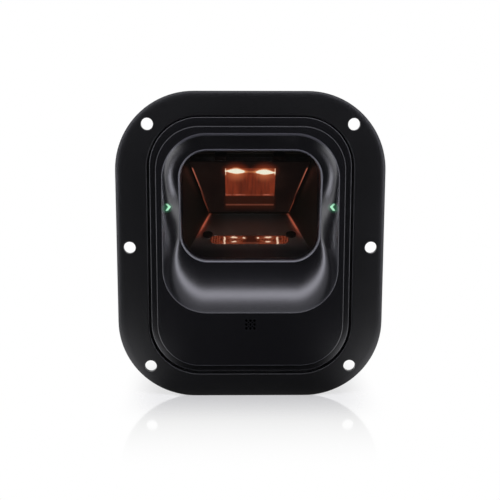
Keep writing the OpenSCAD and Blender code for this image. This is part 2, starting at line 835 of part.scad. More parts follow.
// Plate on the upper panel, raised `lift` off it, with ends that follow the chamber's sides at `edge`
module upper_plate(edge, from, to, lift, t) {
    wide = chamber_half - edge;
    on_upper_panel() translate([0, 0, -lift - t]) linear_extrude(t)
        polygon([for (p = [[-1, from], [1, from], [1, to], [-1, to]])
            [p[0] * (wide - p[1] * cos(mirror_tilt) * side_slope), p[1]]]);
}

module fold_mirror() {
    color([0.75, 0.78, 0.8]) upper_plate(mirror_edge, mirror_from, mirror_to, 0, mirror_t);
}

module light_guide() {
    color([0.4, 0.16, 0.09, 0.8]) upper_plate(guide_edge, guide_from, guide_to, mirror_t, guide_t);
}

module mirror_clips() {
    color("silver")
    for (x = [-1, 1]) on_upper_panel() translate([x * clip_x - clip_w / 2, 0, 0]) {
        translate([0, mirror_from - clip_lip, -mirror_t - clip_t]) cube([clip_w, 2 * clip_lip, clip_t]);
        translate([0, mirror_from - clip_lip, -mirror_t]) cube([clip_w, clip_lip, mirror_t]);
    }
}

module light_bar_lens() {
    color([0.9, 0.8, 0.7, 0.5])
    on_lower_panel() translate([0, bar_s, 0]) {
        translate([0, 0, -chamber_wall - past / 2])
            linear_extrude(chamber_wall + bar_proud + past / 2) pill(bar_l, bar_w);
        difference() {
            translate([0, 0, -chamber_wall - bar_flange_t])
                linear_extrude(bar_flange_t) pill(bar_l + 2 * bar_flange, bar_w + 2 * bar_flange);
            translate([0, -bar_s, 0])
                lamp_bosses(lamp_boss_d + 2 * slip, -chamber_wall - bar_flange_t - past, -chamber_wall);
        }
    }
}

module illumination_board() {
    color([0.05, 0.3, 0.15])
    difference() {
        on_lower_panel()
            translate([-lamp_board_w / 2, lamp_board_s - lamp_board_l / 2, lamp_board_top - board_t])
                cube([lamp_board_w, lamp_board_l, board_t]);
        on_lower_panel()
            lamp_bosses(tiny_screw[0] + 2 * slip, lamp_board_top - board_t - past, lamp_board_top + past);
        translate([0, camera_y, camera_board_z])
            cylinder(d = barrel_d + past, h = camera_drop + past + bar_s);
    }
}

module illumination_leds() {
    color([1, 0.75, 0.5])
    on_lower_panel()
        for (x = [-1, 1], i = [0:2])
            translate([x * (lamp_first + i * lamp_pitch) - lamp_size / 2, bar_s - lamp_size / 2,
                lamp_board_top])
                cube([lamp_size, lamp_size, lamp_t]);
}

// Screw along a bore that is drilled upwards: head below z = 0, thread up to z = l
module screw_up(size, l) {
    rotate([-90, 0, 0]) screw(size, l);
}

module lamp_screws() {
    color("silver")
    on_lower_panel()
        for (x = [-1, 1])
            translate([x * lamp_boss_pitch / 2, lamp_boss_s, lamp_board_top - board_t])
                screw_up(tiny_screw, board_t + lamp_thread);
}

module camera_board() {
    color([0.05, 0.3, 0.15])
    difference() {
        translate([-camera_board_w / 2, camera_board_y - camera_board_l / 2, camera_board_z - board_t])
            cube([camera_board_w, camera_board_l, board_t]);
        for (p = camera_legs_at) translate([p[0], p[1], camera_board_z - board_t - past])
            cylinder(d = tiny_screw[0] + 2 * slip, h = board_t + 2 * past);
    }
}

module image_sensor() {
    color([0.2, 0.2, 0.25])
    translate([-sensor_w / 2, camera_y - sensor_w / 2, camera_board_z]) cube([sensor_w, sensor_w, sensor_t]);
}

module lens_holder() {
    color([0.06, 0.06, 0.06])
    translate([0, camera_y, camera_board_z])
    difference() {
        translate([-holder_w / 2, -holder_w / 2, 0]) cube([holder_w, holder_w, holder_h]);
        translate([-sensor_room / 2, -sensor_room / 2, -past])
            cube([sensor_room, sensor_room, sensor_room_h + past]);
        cylinder(d = barrel_d + 2 * fit, h = holder_h + past);
    }
}

module lens_barrel() {
    color([0.1, 0.1, 0.1])
    translate([0, camera_y, barrel_bottom])
    difference() {
        cylinder(d = barrel_d, h = barrel_top - barrel_bottom);
        translate([0, 0, -past])
            cylinder(d = camera_lens_d + 2 * fit, h = barrel_top - barrel_bottom + 2 * past);
    }
}

module camera_lens() {
    color([0.4, 0.45, 0.6, 0.6])
    translate([0, camera_y, barrel_top - camera_lens_sink - camera_lens_t])
        cylinder(d = camera_lens_d, h = camera_lens_t);
}

module camera_screws() {
    color("silver")
    for (p = camera_legs_at) translate([p[0], p[1], camera_board_z - board_t])
        screw_up(tiny_screw, board_t + lamp_thread);
}

module camera_ribbon() {
    y0 = camera_socket_back;
    y1 = board_y - ribbon_socket_h;
    z0 = camera_board_z + ribbon_rise;
    mid = (y0 + y1) / 2;
    color([0.85, 0.6, 0.25])
    translate([-ribbon_w / 2, 0, 0]) rotate([90, 0, 90]) linear_extrude(ribbon_w)
        polygon([[y0, z0], [mid, z0 - ribbon_dip], [y1, z0],
            [y1, z0 + ribbon_t], [mid, z0 - ribbon_dip + ribbon_t], [y0, z0 + ribbon_t]]);
}

module ribbon_sockets() {
    color([0.8, 0.78, 0.7])
    {
        translate([-ribbon_socket_w / 2, camera_socket_back - ribbon_socket_l, camera_board_z])
            cube([ribbon_socket_w, ribbon_socket_l, ribbon_socket_h]);
        translate([0, 0, camera_board_z + ribbon_rise])
            block(ribbon_socket_w, ribbon_socket_l, board_y - ribbon_socket_h, board_y);
    }
}

module main_board() {
    color([0.05, 0.3, 0.15])
    difference() {
        translate([0, 0, board_z]) block(board_w, board_h, board_y, board_back);
        at_each(board_screws_at) rod(small_screw[0] + 2 * slip, board_y - past, board_back + past);
        well_clearance(board_y, board_back);
    }
}

module processor_chip() {
    color([0.08, 0.08, 0.08])
    translate([chip_at[0], 0, chip_at[1]]) block(chip_w, chip_w, board_y - chip_t, board_y);
}

module board_chips() {
    color([0.12, 0.12, 0.12])
    for (c = small_chips) translate([c[0], 0, c[1]]) block(c[2], c[3], board_y - c[4], board_y);
}

module board_screws() {
    color("silver")
    at_each(board_screws_at)
        translate([0, board_y, 0]) mirror([0, 1, 0]) screw(small_screw, board_t + standoff_thread);
}

module cable_socket() {
    color([0.05, 0.05, 0.05])
    translate([0, 0, socket_z])
    difference() {
        block(socket_w, socket_h, board_back, socket_back);
        block(socket_cavity_w, socket_cavity_h, socket_back - socket_cavity_d, socket_back + past);
    }
}

module socket_contacts() {
    color("gold")
    for (i = [0:contact_n - 1])
        translate([(i - (contact_n - 1) / 2) * contact_pitch - contact_w / 2, socket_back - socket_cavity_d,
            socket_z + socket_cavity_h / 2 - contact_t])
            cube([contact_w, contact_l, contact_t]);
}

module at_button() {
    translate([button_x, 0, socket_z]) children();
}

module tactile_switch() {
    color([0.3, 0.3, 0.32])
    at_button() {
        block(switch_w, switch_w, board_back, board_back + switch_h);
        rod(plunger_d, board_back + switch_h - past, board_back + switch_h + plunger_h);
    }
}

module housing_inserts() {
    color("goldenrod")
    at_each(housing_screws_at)
    difference() {
        rod(insert_d, lip_back - insert_l, lip_back);
        rod(housing_screw[0] + 2 * fit, lip_back - insert_l - past, lip_back + past);
    }
}

module housing_seal() {
    color([0.05, 0.05, 0.05])
    difference() {
        slab(lip_back, housing_y) rounded(housing_w, housing_h, housing_r);
        slab(lip_back - past, housing_y + past)
            rounded(housing_w - 2 * seal_w, housing_h - 2 * seal_w, housing_r - seal_w);
    }
}

// Tapered body from y0 to y1 with a sloped rear edge, `inset` inside the housing's outline
module housing_form(inset, y0, y1) {
    hull() {
        slab(y0, y0 + fit) rounded(housing_w - 2 * inset, housing_h - 2 * inset, housing_r - inset);
        slab(y1 - rear_bevel - fit, y1 - rear_bevel)
            rounded(rear_w - 2 * inset, rear_h - 2 * inset, rear_r - inset);
        slab(y1 - fit, y1)
            rounded(rear_w - 2 * inset - 2 * rear_bevel, rear_h - 2 * inset - 2 * rear_bevel,
                rear_r - inset - rear_bevel);
    }
}

module rear_housing() {
    color([0.09, 0.09, 0.1])
    difference() {
        housing_form(0, housing_y, rear_y);
        difference() {
            housing_form(housing_wall, housing_y - past, rear_inside);
            at_each(housing_screws_at) rod(well_d + 2 * well_wall, housing_y - 2 * past, rear_y);
            at_each(board_screws_at) rod(standoff_d, board_back, rear_y);
        }
        at_each(housing_screws_at) {
            rod(well_d, housing_y + well_seat_t, rear_y + past);
            rod(housing_screw[0] + 2 * slip, housing_y - past, rear_y);
        }
        at_each(board_screws_at)
            rod(small_screw[0] + 2 * fit, board_back - past, board_back + standoff_thread + slip);
        translate([0, 0, socket_z])
            block(socket_w + 2 * slip, socket_h + 2 * slip, rear_inside - past, rear_y + past);
        at_button() rod(button_d + 2 * slip, rear_inside - past, rear_y + past);
        translate([0, 0, label_z]) block(label_w, label_h, rear_y - label_sink, rear_y + past);
    }
}

module housing_screws() {
    color("silver")
    at_each(housing_screws_at)
        translate([0, housing_y + well_seat_t, 0])
            screw(housing_screw, housing_y + well_seat_t - lip_back + insert_l - slip);
}

module volume_button() {
    color([0.16, 0.16, 0.17])
    at_button() {
        rod(button_d, rear_inside - button_gap - past / 2, rear_y + button_proud);
        rod(button_d + 2 * button_rim, rear_inside - button_gap - button_rim_t, rear_inside - button_gap);
        rod(button_stem_d, button_stem_end, rear_inside);
    }
}

mounting_flange();
flange_gasket();
flange_screws();
front_bezel();
window_gasket();
window_pane();
chevron_lens_left();
chevron_lens_right();
indicator_board_left();
indicator_board_right();
indicator_leds();
beeper_gasket();
beeper_case();
beeper_disc();
optical_chamber();
chamber_screws();
fold_mirror();
mirror_clips();
light_guide();
light_bar_lens();
illumination_board();
illumination_leds();
lamp_screws();
camera_board();
image_sensor();
lens_holder();
lens_barrel();
camera_lens();
camera_screws();
camera_ribbon();
ribbon_sockets();
main_board();
processor_chip();
board_chips();
board_screws();
cable_socket();
socket_contacts();
tactile_switch();
housing_inserts();
housing_seal();
rear_housing();
housing_screws();
volume_button();
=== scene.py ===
import bpy
import numpy as np
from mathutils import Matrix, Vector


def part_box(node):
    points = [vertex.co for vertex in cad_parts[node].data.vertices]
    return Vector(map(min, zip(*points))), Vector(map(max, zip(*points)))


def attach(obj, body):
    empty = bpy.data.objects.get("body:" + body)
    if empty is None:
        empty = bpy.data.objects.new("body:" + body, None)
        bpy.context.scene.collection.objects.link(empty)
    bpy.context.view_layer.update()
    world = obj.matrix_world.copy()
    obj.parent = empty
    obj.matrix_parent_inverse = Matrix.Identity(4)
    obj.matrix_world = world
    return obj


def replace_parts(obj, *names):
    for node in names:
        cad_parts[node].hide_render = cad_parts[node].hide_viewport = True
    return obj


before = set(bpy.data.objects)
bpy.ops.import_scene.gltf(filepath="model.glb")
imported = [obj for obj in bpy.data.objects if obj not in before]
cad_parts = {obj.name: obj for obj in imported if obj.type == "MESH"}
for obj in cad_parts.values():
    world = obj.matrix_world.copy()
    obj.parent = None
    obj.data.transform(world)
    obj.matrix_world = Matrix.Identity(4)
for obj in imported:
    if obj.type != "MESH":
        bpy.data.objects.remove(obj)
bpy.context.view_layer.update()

# Mounting flange: a 3 mm steel plate with six plain fixing holes, cut by laser, its front edge rolled over.
# It is coated with black powder, which bakes to a fine, slightly pebbled skin.
mm, quarter = 0.001, np.pi / 2
flange_half, flange_end, flange_r, flange_t = 66.75, 77.25, 39.0, 3.0
opening_half, opening_end, opening_r = 50.9, 65.2, 25.6
opening_lip, plate_edge, edge_roll, crown, crown_fall, seam = 0.8, 1.0, 3.5, 11.0, 0.4, 0.1
hole_r, hole_chamfer, past = 3.0, 0.3, 1.0
flange_holes = [(-50.65, -61.25), (50.65, -61.25), (-50.65, 61.25), (50.65, 61.25),
                (-60.25, 0.0), (60.25, 0.0)]
edge_steps, roll_steps, crown_steps = 7, 13, 12
coat_dark, coat_light, coat_rough = (0.0030, 0.0030, 0.0031), (0.0052, 0.0052, 0.0054), (0.34, 0.42)
coat_grain, coat_relief, coat_shine = 1500.0, 0.30, 0.38
cloud_grain, fine_share, fine_detail, grain_relief, noise_range = 22.0, 0.7, 3.0, 0.0002, (0.3, 0.7)


def rounded_rectangle(half, low, high, r, corner=24, side=24):
    """Points (x, z) in mm, anticlockwise round a rectangle with round corners. A corner is a quarter circle
    of radius r, and a side is shared out in equal steps, so any two such outlines match point for point."""
    turn = np.linspace(0, quarter, corner + 1)
    share = np.arange(1, side)[:, None] / side
    x, bottom, top = half - r, low + r, high - r
    centres = np.array([[x, bottom], [x, top], [-x, top], [-x, bottom]])
    quarters = [turn + k * quarter for k in range(4)]
    arcs = [c + r * np.stack([np.sin(q), -np.cos(q)], axis=1) for c, q in zip(centres, quarters)]
    sides = [a[-1] + share * (b[0] - a[-1]) for a, b in zip(arcs, arcs[1:] + arcs[:1])]
    return np.concatenate([np.concatenate(pair) for pair in zip(arcs, sides)])


def at_depth(outline, y):
    """An outline of (x, z) points set at depth y, which is one number or one for each point."""
    return np.column_stack([outline[:, 0], np.broadcast_to(y, len(outline)), outline[:, 1]])


def skin(rings, closed):
    """Joins rings of points into one skin: each point to the next on its ring and to its twin on the next
    ring. A closed run joins its last ring to its first, and an open one ends in a fan round each end's
    middle. The faces are turned outward by the sign of the volume that they enclose."""
    rings = np.asarray(rings, float)
    m, n = rings.shape[:2]
    points = rings.reshape(-1, 3)
    j, i = np.meshgrid(np.arange(m if closed else m - 1), np.arange(n), indexing="ij")
    here, there, after = j * n, (j + 1) % m * n, (i + 1) % n
    quads = np.stack([here + i, here + after, there + after, there + i], axis=-1).reshape(-1, 4)
    fans = np.empty((0, 3), int)
    if not closed:
        points = np.concatenate([points, rings[[0, -1]].mean(axis=1)])
        i = np.arange(n)
        first = np.stack([np.full(n, m * n), (i + 1) % n, i], axis=1)
        last = np.stack([np.full(n, m * n + 1), (m - 1) * n + i, (m - 1) * n + (i + 1) % n], axis=1)
        fans = np.concatenate([first, last])
    corners = np.concatenate([quads[:, :3], quads[:, [0, 2, 3]], fans])
    a, b, c = (points[corners[:, k]] for k in range(3))
    if np.einsum("ij,ij->", a, np.cross(b, c)) < 0:
        quads, fans = quads[:, ::-1], fans[:, ::-1]
    return points, quads, fans


def smooth(mesh, sharp=32):
    """Shades a mesh smooth, except over edges sharper than that angle in degrees."""
    mesh.shade_smooth()
    mesh.set_sharp_from_angle(angle=np.radians(sharp))


def make(name, skins):
    """One object at the origin from skins in mm."""
    points, faces, start = [], [], 0
    for spots, quads, fans in skins:
        points.append(spots)
        faces += (quads + start).tolist() + (fans + start).tolist()
        start += len(spots)
    mesh = bpy.data.meshes.new(name)
    mesh.from_pydata((np.concatenate(points) * mm).tolist(), [], faces)
    smooth(mesh)
    piece = bpy.data.objects.new(name, mesh)
    bpy.context.scene.collection.objects.link(piece)
    return piece


def cut(piece, tools):
    """Takes the space inside other meshes out of a piece, and keeps the result as the piece's own mesh."""
    for tool in tools:
        knife = piece.modifiers.new("cut", "BOOLEAN")
        knife.operation, knife.solver, knife.object = "DIFFERENCE", "EXACT", tool
    bpy.context.view_layer.update()
    done = bpy.data.meshes.new_from_object(piece.evaluated_get(bpy.context.evaluated_depsgraph_get()))
    piece.modifiers.clear()
    piece.data = done
    smooth(done)
    for tool in tools:
        bpy.data.objects.remove(tool)


def turned(centre, profile, steps=48):
    """A round skin along Y about the point (x, z): each row of the profile is a radius and a depth."""
    turn = np.arange(steps) * 2 * np.pi / steps
    r, y = np.array(profile, float).T
    x, z = (c + np.outer(r, f(turn)) for c, f in zip(centre, (np.cos, np.sin)))
    return skin(np.stack([x, np.broadcast_to(y[:, None], x.shape), z], axis=-1), closed=False)


def fallen(inset):
    """How far the front lies back at an inset from the outline: the square of the way out from the crown."""
    return crown_fall * ((crown - inset) / crown) ** 2


def flange_skin():
    """The plate's section carried round: the opening's round lip, the front, its rolled outer edge, the back
    edge and the lip's back. A row is an inset from the opening or from the outline, and a depth. The roll is
    a quarter of an oval from where the front has fallen to, and the other edges are quarter circles."""
    inner = rounded_rectangle(opening_half, -opening_end, opening_end, opening_r)
    outer = rounded_rectangle(flange_half, -flange_end, flange_end, flange_r)
    wide = np.linalg.norm(outer - inner, axis=1)
    turn = np.linspace(0, quarter, edge_steps)
    lip = [(opening_lip * (1 - np.cos(a)), opening_lip * (1 - np.sin(a))) for a in turn]
    lip.append((opening_lip + seam, 0.0))
    edge = [(d, fallen(d)) for d in np.linspace(crown, edge_roll + seam, crown_steps)]
    for a in np.linspace(0, quarter, roll_steps):
        inset = edge_roll * (1 - np.sin(a))
        edge.append((inset, fallen(inset) + plate_edge * (1 - np.cos(a))))
    edge += [(plate_edge * (1 - np.cos(a)), flange_t - plate_edge * (1 - np.sin(a))) for a in turn]
    behind = [(opening_lip * (1 - np.sin(a)), flange_t - opening_lip * (1 - np.cos(a))) for a in turn]
    rows = [(d / wide, y) for d, y in lip] + [(1 - d / wide, y) for d, y in edge]
    rows += [(d / wide, y) for d, y in behind]
    return skin([at_depth(inner + (outer - inner) * share[:, None], y) for share, y in rows], closed=True)


class Wire:
    """One socket of a material's node tree. + - * / on it add Math nodes, and node() adds any other node."""

    def __init__(self, tree, socket=None):
        self.tree, self.socket = tree, socket

    def node(self, kind, settings=None, sockets=None, out=0):
        """Adds a node of this type: its settings come first, then each socket's value or link."""
        made = self.tree.nodes.new(kind)
        for key, value in (settings or {}).items():
            setattr(made, key, value)
        for key, value in (sockets or {}).items():
            if isinstance(value, Wire):
                self.tree.links.new(value.socket, made.inputs[key])
            else:
                made.inputs[key].default_value = value
        if isinstance(out, tuple):
            return [Wire(self.tree, made.outputs[k]) for k in out]
        return Wire(self.tree, made.outputs[out] if made.outputs else None)

    def math(self, operation, *values):
        """A Math node on these values."""
        return self.node("ShaderNodeMath", {"operation": operation}, dict(enumerate(values)))

    def __add__(self, other):
        return self.math("ADD", self, other)

    __radd__ = __add__

    def __sub__(self, other):
        return self.math("SUBTRACT", self, other)

    def __rsub__(self, other):
        return self.math("SUBTRACT", other, self)

    def __mul__(self, other):
        return self.math("MULTIPLY", self, other)

    __rmul__ = __mul__

    def __truediv__(self, other):
        return self.math("DIVIDE", self, other)

    def __rtruediv__(self, other):
        return self.math("DIVIDE", other, self)

    def __abs__(self):
        return self.math("ABSOLUTE", self)

    def step(self, low, high):
        """0 below low and 1 above high, with a smooth rise between."""
        return self.node("ShaderNodeMapRange", {"interpolation_type": "SMOOTHSTEP"},
                         {"Value": self, "From Min": low, "From Max": high})

    def fade(self, low, high):
        """1 below low and 0 above high, with a smooth fall between."""
        return 1 - self.step(low, high)

    def band(self, start, full, last, end):
        """1 from full to last, with a smooth rise from start and a smooth fall to end."""
        return self.step(start, full) * self.fade(last, end)

    def colours(self, a, b):
        """Goes from colour a to colour b as this value goes from 0 to 1. A Mix node's sockets 6 and 7 are
        its two colours, and its third outlet is the mixed one."""
        a, b = (c if isinstance(c, Wire) else (*c, 1) for c in (a, b))
        return self.node("ShaderNodeMix", {"data_type": "RGBA"}, {0: self, 6: a, 7: b}, out=2)

    def noise(self, scale, detail=2.0):
        """Soft noise of that many cells a metre over this place."""
        return self.node("ShaderNodeTexNoise", None, {"Vector": self, "Scale": scale, "Detail": detail})

    def stretched(self, scale):
        """This place with each of its axes scaled."""
        return self.node("ShaderNodeMapping", None, {"Vector": self, "Scale": scale})

    def axes(self):
        """The three numbers of this place."""
        return self.node("ShaderNodeSeparateXYZ", None, {"Vector": self}, out=(0, 1, 2))

    def bump(self, strength, height=grain_relief):
        """A normal that is bent as a relief of that height in metres would bend it."""
        return self.node("ShaderNodeBump", None, {"Strength": strength, "Distance": height, "Height": self})


def open_finish(name):
    """A new material with an empty node tree, its first wire and its Object coordinates."""
    finish = bpy.data.materials.new(name)
    finish.use_nodes = True
    finish.node_tree.nodes.clear()
    wire = Wire(finish.node_tree)
    return finish, wire, wire.node("ShaderNodeTexCoord", out="Object")


def close_finish(wire, sockets):
    """Ends a material in a Principled surface with these values and links."""
    wire.node("ShaderNodeOutputMaterial", None,
              {"Surface": wire.node("ShaderNodeBsdfPrincipled", None, sockets)})


def grain_of(place, cells):
    """Fine grain of that many cells a metre, and a tone: most of that grain with some of a broad cloud."""
    fine = place.noise(cells, fine_detail)
    cloud = place.noise(cloud_grain)
    return fine, fine.step(*noise_range) * fine_share + cloud.step(*noise_range) * (1 - fine_share)


def over_range(tone, low, high):
    """Goes from low to high as the tone goes from 0 to 1."""
    return low + (high - low) * tone


def grained(name, dark, light, rough, grain, relief, specular=0.5):
    """A moulded or coated finish: the grain's tone varies the colour from dark to light and the roughness
    over its range, and the grain is the surface's relief."""
    finish, wire, place = open_finish(name)
    fine, tone = grain_of(place, grain)
    close_finish(wire, {
        "Base Color": tone.colours(dark, light), "Roughness": over_range(tone, *rough),
        "Specular IOR Level": specular, "Normal": fine.bump(relief)})
    return finish


def dress(piece, finish):
    """Gives a piece one finish."""
    piece.data.materials.clear()
    piece.data.materials.append(finish)
    return piece


flange_coat = grained("flange_coat", coat_dark, coat_light, coat_rough, coat_grain, coat_relief, coat_shine)
flange = make("flange_plate", [flange_skin()])
hole_line = [(hole_r + hole_chamfer + past, -past), (hole_r, hole_chamfer),
             (hole_r, flange_t - hole_chamfer), (hole_r + hole_chamfer + past, flange_t + past)]
cut(flange, [make("hole_cutters", [turned(spot, hole_line) for spot in flange_holes])])
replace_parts(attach(dress(flange, flange_coat), "scanner"), "mounting_flange")

# Flange gasket and its screws: a die-cut rubber ring closes the gap behind the plate, and six small
# screws from behind draw the bezel's lip against it.
rubber_dark, rubber_light, rubber_rough = (0.006, 0.006, 0.006), (0.011, 0.011, 0.011), (0.7, 0.85)
steel_dull, steel_bright, steel_rough = (0.40, 0.40, 0.41), (0.62, 0.62, 0.63), (0.24, 0.4)
rubber_grain, rubber_relief, steel_brush = 900.0, 0.2, 4000.0
streak_long, streak_share, fleck_grain, fleck_range = 0.12, 0.6, 240.0, (0.35, 0.65)


def dress_solids(finish, *nodes):
    """Gives solids that show in their own shape one finish."""
    for node in nodes:
        dress(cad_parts[node], finish)


def plated(name, dull, bright, rough, brush):
    """A metal finish: streaks, stretched along one axis, and flecks vary the colour and the roughness."""
    finish, wire, place = open_finish(name)
    streak = place.stretched((brush, brush * streak_long, brush)).noise(1.0, fine_detail)
    fleck = place.noise(fleck_grain)
    tone = streak.step(*noise_range) * streak_share + fleck.step(*fleck_range) * (1 - streak_share)
    close_finish(wire, {
        "Base Color": tone.colours(dull, bright), "Metallic": 1.0, "Roughness": over_range(tone, *rough)})
    return finish


seal_rubber = grained("seal_rubber", rubber_dark, rubber_light, rubber_rough, rubber_grain, rubber_relief)
screw_steel = plated("screw_steel", steel_dull, steel_bright, steel_rough, steel_brush)
dress_solids(seal_rubber, "flange_gasket")
dress_solids(screw_steel, "flange_screws")

# Front bezel: one moulding in satin black plastic, with a lip behind the flange, a stepped ledge, the raised
# face, a deep scoop that curves down to the window well, and the sound holes below it.
face_y, face_back, ledge_y, lip_y, lip_back = -2.5, 0.5, 0.0, 4.0, 7.0
seat_y, seat_back, wall_t = 14.5, 16.5, 2.0
lip = (54.0, -72.5, 72.5, 38.0)
ledge = (49.9, -63.8, 64.7, 24.5)
face = (46.8, -60.35, 60.35, 21.5)
mouth = (43.6, -32.85, 56.65, 22.0)
rim = (35.85, -9.4, 48.9, 14.5)
ledge_edge, face_edge, face_foot, face_flat = 0.5, 0.45, 0.08, 0.6
mouth_edge, shoulder, well_in, opening_in, seat_out = 0.55, 1.1, 1.15, 0.2, 3.9
slope_top, slope_side, slope_foot, slope_well = np.radians((44, 66, 51, 86))
steepen, foot_from = 0.3, 0.8
run_top, run_foot, curve_high, curve_low = 6.0, 21.0, 50.0, -25.0
mouth_steps, dish_steps, dish_bias, shoulder_steps, back_steps, back_gap = 8, 44, 1.25, 13, 18, 0.02
sound_z, sound_pitch, sound_row, sound_past, sound_steps = -38.8, 2.0, 1.0, 0.5, 20
sound_counts, sound_r = (3, 2, 3, 2, 3), {3: 0.6, 2: 0.4}
chevron_x, chevron_z = 41.2, 19.9
bezel_dark, bezel_light = (0.0034, 0.0034, 0.0040), (0.0050, 0.0050, 0.0058)
# Painted highlight: a lighter grey laid along the rim, the mouth's edge and the foot of face and ledge.
painted_highlight_grey = (0.105, 0.105, 0.118)
rim_band, rim_half, rim_drop = (-0.2, 0.05, 0.85, 1.1), (0.3, 0.7), 0.55
mouth_band, mouth_rise, mouth_least, mouth_more = (-0.5, -0.1, 0.2, 1.3), (30.0, 55.0), 0.12, 0.55
face_band, face_share = (-0.1, 0.05, 0.3, 0.5), 0.55
ledge_band, ledge_share, foot_rise = (-0.1, 0.05, 0.3, 0.55), 0.25, (-62.0, -45.0)
painted_spill_range = (1.0, 9.0)
bezel_grain, bezel_relief, bezel_shine, bezel_rough = 2600.0, 0.10, 0.8, (0.20, 0.27)
unlit, painted_spill_colour = (0.0, 0.0, 0.0), (0.006, 0.060, 0.026)


def grown(outline, by):
    """A rounded rectangle's four sizes, moved outward by that much."""
    half, low, high, r = outline
    return half + by, low - by, high + by, r + by


def ring(outline, y):
    """A rounded rectangle, given by its sizes, set at depth y."""
    return at_depth(rounded_rectangle(*outline), y)


def ease(t):
    """0 below 0 and 1 above 1, with a smooth rise between."""
    t = np.clip(t, 0, 1)
    return t * t * (3 - 2 * t)


def dish(share):
    """The scoop's wall at a share of the way from its mouth to the window's rim: points, slopes, depths and
    the slopes at the mouth. Each line runs straight inward in plan. Its section is an arc that starts at the
    mouth's slope and levels out at a depth, which is small at the top and grows smoothly to the foot. The
    mouth's slope is steepest at the sides and gentler round the top and along the foot."""
    start, end = rounded_rectangle(*mouth), rounded_rectangle(*rim)
    t = (curve_high - start[:, 1]) / (curve_high - curve_low)
    deep = (run_top + (run_foot - run_top) * ease(t)) * np.tan(slope_side / 2)
    steep = slope_top + (slope_side - slope_top) * ease(t / steepen)
    steep += (slope_foot - slope_side) * ease((t - foot_from) / steepen)
    run = deep / np.tan(steep / 2)
    inward = share * np.linalg.norm(end - start, axis=1)
    slope = np.arcsin(np.sin(steep) * np.clip(1 - inward / run, 0, None))
    depth = run / np.sin(steep) * (np.cos(slope) - np.cos(steep))
    return start + (end - start) * np.reshape(share, (-1, 1)), slope, depth, steep


def round_edge(outline, r, y, steps=6):
    """Rings of a rounded outer edge: from the side wall of an outline onto the front at depth y."""
    turn = np.linspace(0, quarter, steps + 1)
    return [ring(grown(outline, r * (np.cos(a) - 1)), y + r * (1 - np.sin(a))) for a in turn]


def bezel_skin():
    """The bezel's section carried round, from the lip over the ledge and the face, down the scoop and the
    well, and back behind the wall. The mouth's edge is an arc that meets the dish's slope, and the rim is a
    round shoulder that turns from the dish's slope to the well's."""
    rings = [ring(lip, y) for y in (lip_back, lip_y)]
    rings += [ring(ledge, lip_y)] + round_edge(ledge, ledge_edge, ledge_y)
    rings += [ring(grown(face, face_foot), ledge_y), ring(face, ledge_y - face_foot)]
    rings += round_edge(face, face_edge, face_y)
    rings += [ring(grown(face, -face_flat), face_y)]
    mouth_line, rim_line = rounded_rectangle(*mouth), rounded_rectangle(*rim)
    steep = dish(0.0)[3]
    back = mouth_edge * np.tan(steep / 2)
    ahead = mouth_edge * np.sin(steep) - back
    outward = rounded_rectangle(*grown(mouth, 1.0)) - mouth_line
    reach = np.linalg.norm(rim_line - mouth_line, axis=1)
    fit = dish(ahead / reach)[2] / (mouth_edge * (1 - np.cos(steep)))
    rings += [ring(grown(mouth, mouth_edge), face_y)]
    for a in np.linspace(0, 1, mouth_steps)[:-1, None] * steep:
        lines = mouth_line + outward * (back - mouth_edge * np.sin(a))[:, None]
        rings.append(at_depth(lines, face_y + fit * mouth_edge * (1 - np.cos(a))))
    for s in np.linspace(0, 1, dish_steps) ** dish_bias:
        points, slope, depth, _ = dish(ahead / reach * (1 - s) + s)
        rings.append(at_depth(points, face_y + depth))
    inward = rounded_rectangle(*grown(rim, -1.0)) - rim_line
    for t in np.linspace(0, 1, shoulder_steps)[1:]:
        turn = slope + (slope_well - slope) * t
        inset = shoulder * (np.sin(turn) - np.sin(slope))
        sunk = shoulder * (np.cos(slope) - np.cos(turn))
        rings.append(at_depth(rim_line + inward * inset[:, None], face_y + depth + sunk))
    well = grown(rim, -well_in)
    opening = grown(well, -opening_in)
    seat = grown(opening, seat_out)
    rings += [ring(well, seat_y)] + [ring(opening, y) for y in (seat_y, seat_back)]
    rings += [ring(seat, y) for y in (seat_back, seat_y)]
    for s in np.linspace(1, 0, back_steps):
        points, slope, depth, _ = dish(s)
        behind = np.minimum(face_y + depth + wall_t / np.cos(slope), seat_y - back_gap)
        rings.append(at_depth(points, behind))
    rings += [ring(grown(mouth, wall_t), face_back)]
    rings += [ring(grown(ledge, -wall_t), y) for y in (face_back, lip_back)]
    return skin(rings, closed=True)


def inside_of(outline, x, z):
    """Distance in mm inside a rounded rectangle, near its edge: the corner radius less the distance from the
    inner rectangle that the corners' centres make."""
    half, low, high, r = outline
    beside = abs(x) - (half - r)
    above = abs(z - (low + high) / 2) - ((high - low) / 2 - r)
    beside, above = (v.math("MAXIMUM", v, 0.0) for v in (beside, above))
    off = beside * beside + above * above
    return r - off.math("SQRT", off)


bezel = make("bezel_moulding", [bezel_skin()])
sound_holes = [((k - (n - 1) / 2) * sound_pitch, sound_z + row * sound_row, sound_r[n])
               for row, n in enumerate(sound_counts, -2) for k in range(n)]
cut(bezel, [make("sound_cutters", [
    turned((x, z), [(r, face_y - sound_past), (r, face_back + sound_past)], sound_steps)
    for x, z, r in sound_holes])])
bezel_black, wire, place = open_finish("bezel_black")
x, y, z = (v / mm for v in place.axes())
fine, tone = grain_of(place, bezel_grain)
past_rim, past_mouth, past_face, past_ledge = (inside_of(o, x, z) for o in (rim, mouth, face, ledge))
